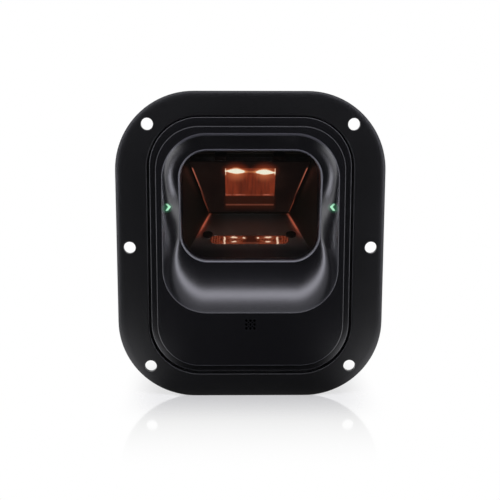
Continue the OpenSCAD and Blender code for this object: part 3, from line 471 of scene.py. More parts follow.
# Painted highlights in a lighter grey: the rim, the mouth's edge most at its top, and the foot of face and
# ledge.
rim_highlight = past_rim.band(*rim_band) * (1 - rim_drop * past_rim.step(*rim_half))
mouth_highlight = past_mouth.band(*mouth_band) * (mouth_least + mouth_more * z.step(*mouth_rise))
foot_highlight = past_face.band(*face_band) * face_share + past_ledge.band(*ledge_band) * ledge_share
painted_highlight = rim_highlight + mouth_highlight + foot_highlight * z.fade(*foot_rise)
# Painted light: the wall round each chevron glows green in its emission, as the lamp's spill would light it.
aside, above = abs(x) - chevron_x, z - chevron_z
painted_green_spill = (aside * aside + above * above).fade(*painted_spill_range)
close_finish(wire, {
    "Base Color": painted_highlight.colours(tone.colours(bezel_dark, bezel_light), painted_highlight_grey),
    "Roughness": over_range(tone, *bezel_rough), "Specular IOR Level": bezel_shine,
    "Normal": fine.bump(bezel_relief),
    "Emission Color": painted_green_spill.colours(unlit, painted_spill_colour), "Emission Strength": 1.0})
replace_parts(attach(dress(bezel, bezel_black), "scanner"), "front_bezel")

# Window: a clear hardened pane that lies on a thin die-cut ring behind the well. It is a plain sheet, so it
# shows only its reflections and a little dust.
pane_ior, pane_gloss, pane_dust, pane_rough = 1.5, 0.9, 0.004, 0.03
pane_tint, full_white = (0.95, 0.96, 0.96, 1), (1, 1, 1, 1)
dust_grain, dust_detail, dust_range = 420.0, 4.0, (0.55, 0.8)
window_clear, wire, place = open_finish("window_clear")
dust = place.noise(dust_grain, dust_detail).step(*dust_range)
mirrored = wire.node("ShaderNodeFresnel", None, {"IOR": pane_ior})
wire.node("ShaderNodeOutputMaterial", None, {"Surface": wire.node("ShaderNodeMixShader", None, {
    0: mirrored * pane_gloss + dust * pane_dust,
    1: wire.node("ShaderNodeBsdfTransparent", None, {"Color": pane_tint}),
    2: wire.node("ShaderNodeBsdfGlossy", None, {"Color": full_white, "Roughness": pane_rough})})})
dress_solids(seal_rubber, "window_gasket")
dress_solids(window_clear, "window_pane")

# Indicator chevrons: two pale green light guides pressed through the scoop's side walls, each lit from
# behind by a small lamp on a board that stands on the wall's feet.
chevron_half, chevron_strength, core_range, core_drop = 1.9, 0.9, (0.35, 1.0), 0.45
haze_grain, haze_range, haze_least, haze_rough = 1800.0, (0.2, 0.8), 0.8, (0.2, 0.3)
chevron_dark, chevron_pale = (0.05, 0.14, 0.09), (0.20, 0.42, 0.30)
chevron_dim, chevron_lit = (0.02, 0.10, 0.05), (0.33, 0.66, 0.40)
mask_field, mask_track = (0.006, 0.050, 0.022), (0.014, 0.090, 0.040)
track_grain, weave_grain, track_relief, track_strength = 420.0, 2400.0, 0.00005, 0.3
track_edge, track_share, mask_rough = (0.28, 0.36), 0.8, (0.32, 0.44)
resin_grain, resin_range, resin_rough, resin_dim, glow_dim = 700.0, (0.25, 0.75), (0.18, 0.28), 0.7, 0.6
indicator_resin, indicator_glow, indicator_strength = (0.7, 0.7, 0.62), (0.55, 0.9, 0.65), 0.8


def board_mask(name, field, track):
    """A circuit board's solder mask: square cells are its tracks, raised a little over a woven ground."""
    finish, wire, place = open_finish(name)
    cell = wire.node("ShaderNodeTexVoronoi", {"distance": "CHEBYCHEV"},
                     {"Vector": place, "Scale": track_grain})
    weave = place.noise(weave_grain)
    line = cell.step(*track_edge)
    tone = line * track_share + weave * (1 - track_share)
    close_finish(wire, {
        "Base Color": tone.colours(field, track), "Roughness": over_range(weave, *mask_rough),
        "Normal": line.bump(track_strength, track_relief)})
    return finish


def glowing(name, body, glow, strength):
    """A lamp's clear resin over its lit chip: the glow gathers in soft cells, and is weaker between them."""
    finish, wire, place = open_finish(name)
    cell = place.noise(resin_grain).step(*resin_range)
    close_finish(wire, {
        "Base Color": cell.colours([resin_dim * c for c in body], body),
        "Roughness": over_range(cell, *resin_rough),
        "Emission Color": cell.colours([glow_dim * c for c in glow], glow), "Emission Strength": strength})
    return finish


chevron_green, wire, place = open_finish("chevron_green")
x, y, z = (v / mm for v in place.axes())
core = 1 - (abs(z - chevron_z) / chevron_half).step(*core_range) * core_drop
haze = over_range(place.noise(haze_grain).step(*haze_range), haze_least, 1.0)
lit = core * haze
close_finish(wire, {
    "Base Color": lit.colours(chevron_dark, chevron_pale), "Roughness": over_range(haze, *haze_rough),
    "Emission Color": lit.colours(chevron_dim, chevron_lit), "Emission Strength": chevron_strength})
board_green = board_mask("board_green", mask_field, mask_track)
lamp_white = glowing("lamp_white", indicator_resin, indicator_glow, indicator_strength)
dress_solids(chevron_green, "chevron_lens_left", "chevron_lens_right")
dress_solids(board_green, "indicator_board_left", "indicator_board_right")
dress_solids(lamp_white, "indicator_leds")

# Beeper: a lacquered piezo disc in a small black case, which a ring behind the sound holes holds on a foam
# washer, so that the face sounds with it.
case_dark, case_light, case_rough = (0.008, 0.008, 0.008), (0.014, 0.014, 0.014), (0.4, 0.55)
disc_dark, disc_light, disc_rough = (0.0012, 0.0012, 0.0013), (0.0022, 0.0022, 0.0023), (0.6, 0.7)
socket_black = grained("socket_black", case_dark, case_light, case_rough, grain=1800.0, relief=0.2)
disc_black = grained("disc_black", disc_dark, disc_light, disc_rough, grain=900.0, relief=0.1, specular=0.1)
dress_solids(seal_rubber, "beeper_gasket")
dress_solids(socket_black, "beeper_case")
dress_solids(disc_black, "beeper_disc")

# Optical chamber: a dark moulded funnel screwed to the bezel's columns. Its upper panel holds the mirror and
# its lower one the lamps, whose amber light, painted as glow, gathers along the creases where the panels meet
# its sides.
chamber_top, chamber_low, chamber_near, panel_rise = 48.5, -9.9, 20.0, 0.46
panel_cos, panel_sin = 0.9085, 0.418
side_half, side_taper = 34.6, 0.315
boss_x, boss_y, boss_z, boss_r = 22.5, 40.5, -0.45, 3.2
near_dark, near_light, painted_lit_panel = (0.034, 0.042, 0.043), (0.046, 0.056, 0.057), (0.58, 0.55, 0.50)
wall_dark, wall_light, boss_dark = (0.026, 0.026, 0.024), (0.038, 0.037, 0.034), (0.004, 0.003, 0.003)
panel_glow, flare_glow = (0.0036, 0.0036, 0.0038), (0.052, 0.0045, 0.0010)
wall_glow, crease_glow = (0.0018, 0.0013, 0.0008), (0.30, 0.062, 0.034)
chamber_grain, chamber_relief, chamber_rough = 1900.0, 0.12, (0.36, 0.48)
wall_edge, boss_edge, painted_lit_rows = (0.1, 0.9), (0.02, 0.16), (6.0, 24.0)
crease_high, crease_wide = (0.3, 1.3), (0.4, 1.3)
crease_from, crease_to, crease_drop = (20.5, 30.0), (34.0, 41.0), 0.75
flare_wide, flare_rows = (0.4, 4.2), (17.0, 21.0, 27.0, 36.0)
glow_rows, glow_wide = (12.0, 26.0), (10.0, 20.0)


def blot(across, up, middle, half):
    """1 in the middle of an oval and 0 at its edge: the oval has its middle and its half sizes in both
    directions."""
    a, b = ((v - m) / h for v, m, h in zip((across, up), middle, half))
    return a.math("SQRT", a * a + b * b).fade(0.0, 1.0)


chamber_black, wire, place = open_finish("chamber_black")
x, y, z = (v / mm for v in place.axes())
fine = place.noise(chamber_grain, fine_detail)
tone = fine.step(*noise_range)
into, across = y - chamber_near, abs(x)
over_low = (z - chamber_low - panel_rise * into) * panel_cos
from_side = side_half - side_taper * into - across
wall = over_low.step(*wall_edge)
# Painted glow: the creases, the flare along the sides, the middle of the panel and the walls glow in the
# emission.
crease = over_low.fade(*crease_high) * from_side.fade(*crease_wide)
crease = crease * into.step(*crease_from) * (1 - into.step(*crease_to) * crease_drop)
flare = from_side.fade(*flare_wide) * into.band(*flare_rows)
up_panel = (y - boss_y) * panel_cos + (z - boss_z) * panel_sin
boss = blot(across, up_panel, (boss_x, 0.0), (boss_r, boss_r)).step(*boss_edge)
# Painted light: the lower panel is painted pale further in from the window, as a pool of light.
panel = into.step(*painted_lit_rows).colours(tone.colours(near_dark, near_light), painted_lit_panel)
body = wall.colours(panel, tone.colours(wall_dark, wall_light))
glow = (into.step(*glow_rows) * across.fade(*glow_wide)).colours(unlit, panel_glow)
glow = wall.colours(flare.colours(glow, flare_glow), wall_glow)
close_finish(wire, {
    "Base Color": boss.colours(body, boss_dark), "Roughness": over_range(tone, *chamber_rough),
    "Normal": fine.bump(chamber_relief),
    "Emission Color": crease.colours(glow, crease_glow), "Emission Strength": 1.0})
dress_solids(chamber_black, "optical_chamber")
dress_solids(screw_steel, "chamber_screws")

# Fold mirror: a front-silvered glass slip on the chamber's upper panel, kept there by two black spring clips.
# It turns the camera's view from upward to forward through the window.
silver_dull, silver_bright, silver_rough = (0.34, 0.32, 0.30), (0.40, 0.38, 0.36), (0.02, 0.05)
mirror_silver = plated("mirror_silver", silver_dull, silver_bright, silver_rough, brush=900.0)
dress_solids(mirror_silver, "fold_mirror")
dress_solids(socket_black, "mirror_clips")

# Light guide: a thin smoked plate bonded to the mirror. Its light is painted glow: two lamps shine into its
# amber window from above, and the light that runs along inside comes out at its slanted ends and in two thin
# lines below.
guide_from, guide_to, guide_t, mirror_t = 9.0, 51.0, 0.6, 2.0
guide_wide, guide_taper, guide_r, slant = 33.2, 0.2227, 0.8, 0.7071
guide_edge, guide_turn, guide_flat = 0.2, 0.06, 0.7
guide_rows = ((0.0, 0.0), (0.0, guide_t - guide_edge), (guide_turn, guide_t - guide_turn),
              (guide_edge, guide_t), (guide_flat, guide_t))
guide_plan, guide_steps = (guide_wide, guide_from, guide_to, guide_r), (8, 8)
pane_mid, pane_edge, pane_rows = 0.3, (13.0, 13.4), (13.2, 13.8, 36.4, 37.0)
streak_grain, patch_grain, smoke_grain = (900.0, 60.0, 60.0), (170.0, 5.0, 5.0), 60.0
lamp_x, lamp_down, lamp_tilt, hump_half = 7.4, 16.4, 0.05, (8.2, 60.0)
row_ragged, row_shift, row_under, row_over, row_thin, row_thick = 0.5, 0.25, 1.4, -1.0, 0.9, 2.6
row_edge, row_gap, row_least, row_share = (0.6, 1.2), (0.5, 4.0), 0.35, 0.85
core_edge, core_gap, core_rise, core_least = (0.15, 1.1), (1.5, 4.0), (0.1, 0.7), 0.25
core_warm = (0.15, 0.7)
lip_edge, lip_row_share, lip_core_share, halo_share = (12.4, 12.9), 0.6, 0.4, 0.9
halo_at, halo_half = (lamp_x, 15.4), (9.0, 7.6)
under_at, under_half = (lamp_x, 16.6), (7.2, 9.5)
upper_line, lower_line = (34.9, 35.3, 35.9, 36.4), (43.4, 44.1, 44.6, 45.5)
lip_rows, below_rows, end_rows = (13.0, 14.0, 18.0, 20.0), (35.5, 37.5, 45.0, 51.0), (12.4, 14.0, 14.0, 42.0)
line_edge, below_edge, end_edge = (12.6, 13.6), (12.0, 15.0), (0.2, 0.95)
patch_range, patch_least, lower_share, lower_least, lower_more = (0.42, 0.66), 0.15, 0.30, 0.6, 0.8
below_share, body_least, body_streak, body_range = 0.8, 0.62, 0.55, (0.25, 0.75)
body_fall, body_drop, body_wide, body_rise = (18.0, 26.0), 0.25, (3.0, 12.0), 0.2
plate_rough = (0.25, 0.40)
painted_glow_dark, painted_glow_light = (0.0036, 0.0020, 0.0018), (0.0090, 0.0046, 0.0036)
halo_red, below_red, pane_amber = (0.26, 0.034, 0.011), (0.034, 0.0080, 0.0040), (0.215, 0.031, 0.012)
under_amber, line_amber, end_amber = (0.50, 0.13, 0.050), (0.42, 0.11, 0.065), (0.52, 0.14, 0.085)
row_amber, lamp_core = (0.88, 0.30, 0.11), (1.0, 0.95, 0.76)
plate_smoke, plate_amber = (0.010, 0.007, 0.006), (0.05, 0.02, 0.012)


def on_mirror(outline, height):
    """Sets an outline of (across, down the slope) points on the mirror's face, that far off it, with the
    ends drawn in by the taper for each millimetre down."""
    across, down = outline.T
    lift = mirror_t + height
    x = across * (1 - down * guide_taper / guide_wide)
    return np.column_stack([x, chamber_near + slant * (down - lift), chamber_top - slant * (down + lift)])


guide = make("guide_plate", [skin([
    on_mirror(rounded_rectangle(*grown(guide_plan, -inset), *guide_steps), height)
    for inset, height in guide_rows], closed=False)])
guide_amber, wire, place = open_finish("guide_amber")
x, y, z = (v / mm for v in place.axes())
down = (y - chamber_near) / slant + mirror_t + guide_t
across = abs(x - pane_mid)
streak = place.stretched(streak_grain).noise(1.0, fine_detail)
patchy = place.stretched(patch_grain).noise(1.0)
cloud = place.noise(smoke_grain).step(*noise_range)
inner = across.fade(*pane_edge)
pane = inner * down.band(*pane_rows)
# Painted glow: each lamp makes a long hump of light in one thin row, a white core in it, and a red halo round
# it.
hump = blot(across, down, (lamp_x, lamp_down), hump_half)
off = down - lamp_down - lamp_tilt * x - row_ragged * streak + row_shift
off = off.math("MAXIMUM", off * row_under, off * row_over) / (row_thin + row_thick * hump * hump)
row = inner * off.fade(*row_edge) * over_range(across.step(*row_gap), row_least, 1.0)
spot = off.fade(*core_edge) * over_range(hump.step(*core_rise), core_least, 1.0)
spot = spot * inner * across.step(*core_gap)
halo = blot(across, down, halo_at, halo_half)
under = blot(across, down, under_at, under_half) * pane
lips = across.step(*lip_edge) * inner * down.band(*lip_rows)
# The painted glow comes out again in two lines under the window, below them, and at the slanted ends.
lines = down.band(*upper_line) * (patch_least + patchy.step(*patch_range))
lines = lines + down.band(*lower_line) * lower_share * (lower_least + lower_more * patchy)
lines = lines * across.fade(*line_edge)
below = across.fade(*below_edge) * down.band(*below_rows)
ends = (guide_wide - down * guide_taper - abs(x)).fade(*end_edge) * down.band(*end_rows)
body = body_least + body_streak * streak.step(*body_range)
body = body - down.step(*body_fall) * body_drop + across.step(*body_wide) * body_rise
# A faint painted glow in a cloud over the whole plate, under the rest.
glow = cloud.colours(painted_glow_dark, painted_glow_light)
glow = (halo * halo_share).colours(glow, halo_red)
glow = (below * below_share).colours(glow, below_red)
glow = (pane * body).colours(glow, pane_amber)
glow = under.colours(glow, under_amber)
glow = lines.colours(glow, line_amber)
glow = ends.colours(glow, end_amber)
glow = (row * row_share + lips * lip_row_share).colours(glow, row_amber)
glow = (spot + lips * lip_core_share).step(*core_warm).colours(glow, lamp_core)
close_finish(wire, {
    "Base Color": pane.colours(plate_smoke, plate_amber), "Roughness": over_range(streak, *plate_rough),
    "Emission Color": glow, "Emission Strength": 1.0})
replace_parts(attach(dress(guide, guide_amber), "scanner"), "light_guide")

# Lamp bar: six small lamps on a board under the chamber's floor shine through a clear bar that is pressed
# into it from below, and leave the middle dark for the camera. The light in the bar is painted glow.
bar_mid, bar_y, bar_z = 0.8, 36.5, -2.3
cell_grain, swirl_grain, swirl_aside, swirl_up = 900.0, 420.0, 1.2, 1.4
spread_from, spread_to, spread_drop = (2.0, 5.0), (16.5, 20.0), 0.5
cell_range, cell_least = (0.32, 0.68), 0.15
line_at, line_half, line_top, line_least, line_cells = 14.2, 1.1, (1.6, 3.4), 0.55, 0.7
rib_pitch, rib_from, foot_up, foot_wide, warm_wide = 4.6, (15.0, 16.0), (-3.2, -2.2), (15.0, 18.0), 1.7
rib_share, foot_share, line_share, ring_share, warm_share = 0.5, 0.25, 0.6, 0.8, 0.5
hot_line, hot_range, bar_rough = 0.9, (0.22, 0.85), (0.12, 0.22)
lamp_at, ring_half, hole_half = (8.2, -0.1), (5.6, 3.4), (3.6, 1.9)
glints = (((9.2, 1.9), (3.4, 1.4)), ((9.0, -2.3), (2.8, 1.2)), ((3.8, 1.4), (1.3, 1.3)))
bar_dim, bar_red, bar_rib = (0.034, 0.0070, 0.0036), (0.155, 0.018, 0.0040), (0.36, 0.095, 0.055)
bar_warm, bar_hot = (0.42, 0.12, 0.060), (1.0, 0.70, 0.50)
bar_dark, bar_amber = (0.02, 0.008, 0.004), (0.10, 0.035, 0.014)
lamp_resin, lamp_glow, lamp_strength = (0.8, 0.6, 0.3), (1.0, 0.45, 0.16), 3.0
lamp_clear, wire, place = open_finish("lamp_clear")
x, y, z = (v / mm for v in place.axes())
cell = place.noise(cell_grain, fine_detail)
swirl = place.noise(swirl_grain) - 0.5
across = abs(x - bar_mid) + swirl_aside * swirl
up = (y - bar_y) * panel_cos + (z - bar_z) * panel_sin + swirl_up * swirl
# Painted light: the bar's glow, the rings round the lamps, the lit ribs at its ends, a lit line and white
# glints are painted into its emission, and its colour is amber where the glow spreads.
spread = across.step(*spread_from) * (1 - across.step(*spread_to) * spread_drop)
spread = spread * (cell_least + cell.step(*cell_range))
line = abs(across - line_at).fade(0.0, line_half) * up.fade(*line_top) * (line_least + line_cells * cell)
halo = blot(across, up, lamp_at, ring_half) * (1 - blot(across, up, lamp_at, hole_half))
ribs = across.math("SINE", across * rib_pitch).step(0.0, 1.0) * across.step(*rib_from)
foot = up.fade(*foot_up) * across.fade(*foot_wide)
hot = sum(blot(across, up, *glint) for glint in glints)
warm = sum(blot(across, up, middle, (warm_wide * wide, warm_wide * high)) for middle, (wide, high) in glints)
glow = spread.colours(bar_dim, bar_red)
glow = (ribs * rib_share + foot * foot_share + line * line_share).colours(glow, bar_rib)
glow = (halo * cell.step(*noise_range) * ring_share + warm * warm_share).colours(glow, bar_warm)
glow = (hot + line * hot_line).step(*hot_range).colours(glow, bar_hot)
close_finish(wire, {
    "Base Color": spread.colours(bar_dark, bar_amber), "Roughness": over_range(cell, *bar_rough),
    "Emission Color": glow, "Emission Strength": 1.0})
lamp_amber = glowing("lamp_amber", lamp_resin, lamp_glow, lamp_strength)
dress_solids(lamp_clear, "light_bar_lens")
dress_solids(lamp_amber, "illumination_leds")
dress_solids(board_green, "illumination_board")
dress_solids(screw_steel, "lamp_screws")

# Camera: a sensor on its own board under the chamber, with a black holder and a threaded barrel that looks
# up at the mirror through the bar's dark middle, joined to the main board by a flat amber ribbon.
optic_dark, optic_light, optic_rough = (0.006, 0.006, 0.006), (0.010, 0.010, 0.010), (0.45, 0.6)
chip_dark, chip_light, chip_rough = (0.010, 0.010, 0.011), (0.018, 0.018, 0.019), (0.5, 0.62)
flex_dark, flex_light, flex_rough = (0.42, 0.17, 0.03), (0.55, 0.25, 0.05), (0.28, 0.4)
cream_dark, cream_light, cream_rough = (0.50, 0.47, 0.38), (0.60, 0.57, 0.48), (0.4, 0.5)
film_blue, film_violet = (0.010, 0.012, 0.030), (0.022, 0.012, 0.030)
film_grain, film_rough, film_coat = 160.0, (0.04, 0.07), (0.5, 1.0)
optic_black = grained("optic_black", optic_dark, optic_light, optic_rough, grain=2200.0, relief=0.2)
chip_black = grained("chip_black", chip_dark, chip_light, chip_rough, grain=3200.0, relief=0.25)
flex_amber = grained("flex_amber", flex_dark, flex_light, flex_rough, grain=700.0, relief=0.1)
connector_cream = grained("connector_cream", cream_dark, cream_light, cream_rough, grain=1500.0, relief=0.1)
lens_glass, wire, place = open_finish("lens_glass")
film = place.noise(film_grain).step(*noise_range)
close_finish(wire, {
    "Base Color": film.colours(film_blue, film_violet),
    "Roughness": over_range(film, *film_rough), "Coat Weight": over_range(film, *film_coat)})
dress_solids(board_green, "camera_board")
dress_solids(chip_black, "image_sensor")
dress_solids(optic_black, "lens_holder", "lens_barrel")
dress_solids(lens_glass, "camera_lens")
dress_solids(screw_steel, "camera_screws")
dress_solids(flex_amber, "camera_ribbon")
dress_solids(connector_cream, "ribbon_sockets")

# Main board: it stands on the housing's pillars and carries the processor, the small parts, the switch
# behind the button and the ten-way inlet socket for the interface cable.
gold_dull, gold_bright, gold_rough = (0.70, 0.46, 0.16), (0.90, 0.66, 0.30), (0.16, 0.3)
contact_gold = plated("contact_gold", gold_dull, gold_bright, gold_rough, brush=3000.0)
dress_solids(board_green, "main_board")
dress_solids(chip_black, "processor_chip", "board_chips")
dress_solids(screw_steel, "board_screws")
dress_solids(socket_black, "cable_socket", "tactile_switch")
dress_solids(contact_gold, "socket_contacts")

# Rear housing: a deep drafted box in black plastic with a fine spark-eroded grain, closed on a flat seal and
# held by four screws at the bottom of round wells that open through its corners.
housing_front, housing_rear = (49.45, -63.55, 63.55, 24.0), (44.95, -58.05, 58.05, 20.0)
housing_y, housing_wall, rear_bevel, rear_round = 8.0, 2.5, 4.0, 3.0
rear_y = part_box("rear_housing")[1].y / mm
front_edge = ((0.4, 0.0), (0.12, 0.12), (0.0, 0.4))
draft_from, draft_to, draft_steps, round_steps = 0.02, 0.97, 16, 7
rear_in, hollow_in, hollow_past = (5.4, 10.0), 6.5, 2.0
well_r, well_floor, well_wall, well_chamfer, well_past = 4.0, 12.0, 2.0, 0.4, 4.0
screw_hole_r, screw_hole_past, screw_hole_steps = 1.65, 0.5, 24
housing_screws = [(x, z) for x in (-40.45, 40.45) for z in (-53.55, 53.55)]
socket_z, button_x, button_r, button_gap, button_chamfer = -30.0, 26.0, 4.5, 0.2, 0.3
socket_hole = (8.2, socket_z - 7.2, socket_z + 7.2, 0.6)
rear_seat, rear_seat_deep, few_steps = (22.0, 13.0, 35.0, 1.2), 0.4, (6, 4)
housing_dark, housing_light, housing_rough = (0.010, 0.010, 0.0105), (0.017, 0.017, 0.018), (0.44, 0.58)
brass_dull, brass_bright, brass_rough = (0.50, 0.36, 0.13), (0.72, 0.54, 0.24), (0.22, 0.4)


def between(a, b, share):
    """A rounded rectangle's four sizes at a share of the way from one to another."""
    return tuple(p + (q - p) * share for p, q in zip(a, b))


def housing_rings():
    """The housing's section as two runs of rings. The outer one is a round front edge, the drafted side, the
    rear bevel with its two corners rounded by eighths of a circle, and the rear. The inner one lies one wall
    further in, and is what is taken out."""
    bevel_y = rear_y - rear_bevel
    turn = np.linspace(0, quarter / 2, round_steps)
    reach = rear_round * np.tan(quarter / 4)
    outer = [ring(grown(housing_front, -inset), housing_y + y) for inset, y in front_edge]
    outer += [ring(between(housing_front, housing_rear, s), housing_y + s * (bevel_y - housing_y))
              for s in np.linspace(draft_from, draft_to, draft_steps)]
    outer += [ring(grown(housing_rear, -rear_round * (1 - np.cos(a))),
                   bevel_y - reach + rear_round * np.sin(a)) for a in turn]
    outer += [ring(grown(housing_rear, -rear_bevel - reach + rear_round * np.sin(a)),
                   rear_y - rear_round * (1 - np.cos(a))) for a in turn[::-1]]
    outer += [ring(grown(housing_rear, -inset), rear_y) for inset in rear_in]
    inner = [ring(grown(housing_rear, -hollow_in), rear_y - housing_wall),
             ring(grown(housing_rear, -housing_wall), bevel_y),
             ring(grown(housing_front, -housing_wall), housing_y),
             ring(grown(housing_front, -housing_wall), housing_y - hollow_past)]
    return outer, inner


outside, inside = housing_rings()
housing = make("housing_moulding", [skin(outside, closed=False)])
hollow = make("hollow_cutter", [skin(inside, closed=False)])
tube_line = [(well_r + well_wall, housing_y - well_past), (well_r + well_wall, rear_y)]
cut(hollow, [make("well_tubes_%d" % k, [turned(spot, tube_line)]) for k, spot in enumerate(housing_screws)])
cut(housing, [hollow])
well_line = [(well_r, well_floor), (well_r, rear_y - well_chamfer),
             (well_r + well_chamfer + past, rear_y + past)]
screw_line = [(screw_hole_r, housing_y - past), (screw_hole_r, well_floor + screw_hole_past)]
button_hole_r = button_r + button_gap
button_hole = [(button_hole_r, rear_y - housing_wall - past), (button_hole_r, rear_y - button_chamfer),
               (button_hole_r + button_chamfer + past, rear_y + past)]
cutters = [turned(spot, well_line) for spot in housing_screws]
cutters += [turned(spot, screw_line, screw_hole_steps) for spot in housing_screws]
cutters += [turned((button_x, socket_z), button_hole)]
for outline, y in ((socket_hole, rear_y - housing_wall - past), (rear_seat, rear_y - rear_seat_deep)):
    cutters += [skin([ring((*outline, *few_steps), d) for d in (y, rear_y + past)], closed=False)]
cut(housing, [make("opening_cutters_%d" % k, [c]) for k, c in enumerate(cutters)])
housing_black = grained(
    "housing_black", housing_dark, housing_light, housing_rough, grain=1300.0, relief=0.5)
brass_plain = plated("brass_plain", brass_dull, brass_bright, brass_rough, brush=3000.0)
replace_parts(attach(dress(housing, housing_black), "scanner"), "rear_housing")
dress_solids(seal_rubber, "housing_seal")
dress_solids(brass_plain, "housing_inserts")
dress_solids(screw_steel, "housing_screws")

# Volume button: a dished grey cap that slides in the housing's round hole and presses the switch behind it.
# It is moulded in one with its stem and with the rim that keeps it from falling out.
button_low, button_high = (v.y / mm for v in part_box("volume_button"))
stem_r, collar_r, collar_t, collar_gap = 2.0, 5.7, 1.0, 0.3
cap_edge, bowl_r, bowl_deep, bowl_end, cap_steps, bowl_steps = 0.5, 3.7, 0.35, 0.05, 8, 10
collar_back = rear_y - housing_wall - collar_gap
grey_dark, grey_light, grey_rough = (0.030, 0.030, 0.032), (0.045, 0.045, 0.047), (0.4, 0.5)
cap_line = [(stem_r, button_low), (stem_r, collar_back - collar_t), (collar_r, collar_back - collar_t),
            (collar_r, collar_back), (button_r, collar_back)]
cap_line += [(button_r - cap_edge * (1 - np.cos(a)), button_high - cap_edge * (1 - np.sin(a)))
             for a in np.linspace(0, quarter, cap_steps)]
cap_line += [(bowl_r * b, button_high - bowl_deep * (1 - b * b))
             for b in np.linspace(1, bowl_end, bowl_steps)]
button = make("button_cap", [turned((button_x, socket_z), cap_line)])
button_grey = grained("button_grey", grey_dark, grey_light, grey_rough, grain=1600.0, relief=0.25)
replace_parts(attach(dress(button, button_grey), "volume_button"), "volume_button")

# Studio: a white sweep under and behind the device, a ring of bright cloth round the dark gap that the lens
# looks through, a pale card on the floor at each side and a softbox above, all seen from a little above.
floor_z, floor_front, floor_back, floor_half, floor_steps = -77.25, -140.0, 2600.0, 2600.0, 41
card_white, floor_gap, pure_white = (2.2, 2.2, 2.3), (0.02, 0.02, 0.02), (1.0, 1.0, 1.0)
paper_rough, sheen_rough, sheen_share, shade_share = 0.6, 0.09, 0.35, 0.33
rear_rise, card_aside, card_deep = (-0.02, 0.05), (0.04, 0.08), (-0.11, -0.07, -0.01, 0.02)
paper_grain, paper_mottle, paper_tone, paper_seen, paper_rear = 6.0, 0.05, 0.2, 0.25, 0.5
sheen_from, sheen_end, shade_wide, shade_deep = -0.095, 0.012, (0.044, 0.068), (-0.04, 0.0, 0.03, 0.08)
room_dark, cloth_white, cloth_far = (0.02, 0.02, 0.02), (5.6, 5.6, 6.3), 0.90
cloth_front, cloth_foot, rear_half = (-0.72, -0.58), (-0.85, -0.65), (-0.05, 0.25)
far_rise, far_up = (-0.60, -0.34), (-0.6, -0.1)
box_spot, box_wide, box_high, box_radiance = (0.0, -0.15, 0.44), 0.40, 0.20, 3.0
lens_length, sensor_wide, lens_shift = 67.62, 36.0, (-0.0016, -0.0044)
pitch, yaw, roll = np.radians((10.0, 0.85, -0.12)).tolist()
lens_distance = 0.4686


def ray_kinds(wire):
    """Two masks by the kind of ray: one from the camera itself, and one that gloss or glass has sent on."""
    camera_ray, glossy_ray, clear_ray = wire.node(
        "ShaderNodeLightPath", None, None, ("Is Camera Ray", "Is Glossy Ray", "Is Transmission Ray"))
    sent_on = glossy_ray + clear_ray
    return camera_ray, sent_on.math("MINIMUM", sent_on, 1.0) * (1 - camera_ray)


u, v = np.meshgrid(np.linspace(-1, 1, floor_steps), np.linspace(0, 1, floor_steps))
far = floor_front + (floor_back - floor_front) * v ** 2
sheet = np.stack([u * floor_half, far, u * 0 + floor_z], axis=-1)
grid = np.arange(floor_steps ** 2).reshape(floor_steps, floor_steps)
quads = np.stack([grid[:-1, :-1], grid[:-1, 1:], grid[1:, 1:], grid[1:, :-1]], axis=-1).reshape(-1, 4)
floor = make("studio_floor", [(sheet.reshape(-1, 3), quads, quads[:0])])
floor_white, wire, place = open_finish("floor_white")
x, y, z = place.axes()
camera_ray, sent_on = ray_kinds(wire)
aside = abs(x)
rear = y.step(*rear_rise)
cards = aside.step(*card_aside) * y.band(*card_deep)
tone = place.noise(paper_grain) * paper_mottle + rear * paper_rear * (1 - camera_ray)
tone = tone + paper_tone + camera_ray * paper_seen
paper = wire.node("ShaderNodeBsdfPrincipled", None, {
    "Base Color": tone.colours(unlit, pure_white), "Roughness": paper_rough})
bright = (sent_on * (1 - rear)).colours(pure_white, floor_gap)
white = wire.node("ShaderNodeEmission", None, {
    "Color": (sent_on * cards).colours(bright, card_white), "Strength": 1.0})
sheen = wire.node("ShaderNodeBsdfGlossy", None, {"Color": full_white, "Roughness": sheen_rough})
near = y.node("ShaderNodeMapRange", None, {"Value": y, "From Min": sheen_from, "From Max": 0.0})
gloss = near * near * sheen_share * y.fade(0.0, sheen_end) * camera_ray
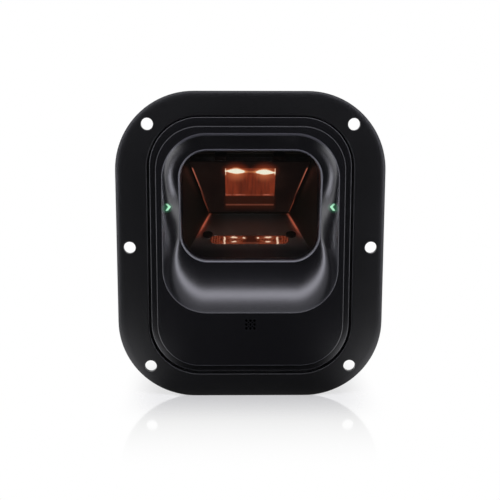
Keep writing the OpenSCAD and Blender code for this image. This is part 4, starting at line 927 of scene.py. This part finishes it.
shade = aside.fade(*shade_wide) * y.band(*shade_deep) * camera_ray * shade_share
seen = wire.node("ShaderNodeMixShader", None, {0: gloss, 1: white, 2: sheen})
seen = wire.node("ShaderNodeMixShader", None, {0: shade, 1: seen, 2: paper})
wire.node("ShaderNodeOutputMaterial", None, {"Surface": wire.node("ShaderNodeMixShader", None, {
    0: camera_ray + sent_on, 1: paper, 2: seen})})
dress(floor, floor_white)

world = bpy.data.worlds.new("studio")
bpy.context.scene.world = world
world.use_nodes = True
world.node_tree.nodes.clear()
wire = Wire(world.node_tree)
camera_ray, sent_on = ray_kinds(wire)
x, y, z = wire.node("ShaderNodeTexCoord", out="Generated").axes()
cloth = y.step(*cloth_front) * z.step(*cloth_foot)
cloth = cloth * (1 - y.step(*far_rise) * z.step(*far_up) * cloth_far)
light = cloth.colours(room_dark, cloth_white)
light = (y.step(*rear_half) * sent_on).colours(light, pure_white)
wire.node("ShaderNodeOutputWorld", None, {"Surface": wire.node("ShaderNodeBackground", None, {
    "Color": camera_ray.colours(light, pure_white), "Strength": 1.0})})

# The softbox's power is its radiance times its area times pi, so its size doesn't change its brightness.
lamp = bpy.data.lights.new("top_softbox", "AREA")
lamp.shape, lamp.size, lamp.size_y = "RECTANGLE", box_wide, box_high
lamp.energy = box_radiance * box_wide * box_high * np.pi
softbox = bpy.data.objects.new("top_softbox", lamp)
bpy.context.scene.collection.objects.link(softbox)
softbox.location = box_spot
softbox.rotation_euler = softbox.location.to_track_quat("Z", "Y").to_euler()
softbox.visible_glossy = False

lens = bpy.data.cameras.new("camera")
lens.lens, lens.sensor_width, lens.sensor_fit = lens_length, sensor_wide, "HORIZONTAL"
lens.shift_x, lens.shift_y = lens_shift
camera = bpy.data.objects.new("camera", lens)
bpy.context.scene.collection.objects.link(camera)
level = lens_distance * np.cos(pitch)
camera.location = (-level * np.sin(yaw), -level * np.cos(yaw), lens_distance * np.sin(pitch))
camera.rotation_euler = (quarter - pitch, roll, -yaw)
bpy.context.scene.camera = camera
bpy.context.scene.view_settings.view_transform = "Standard"
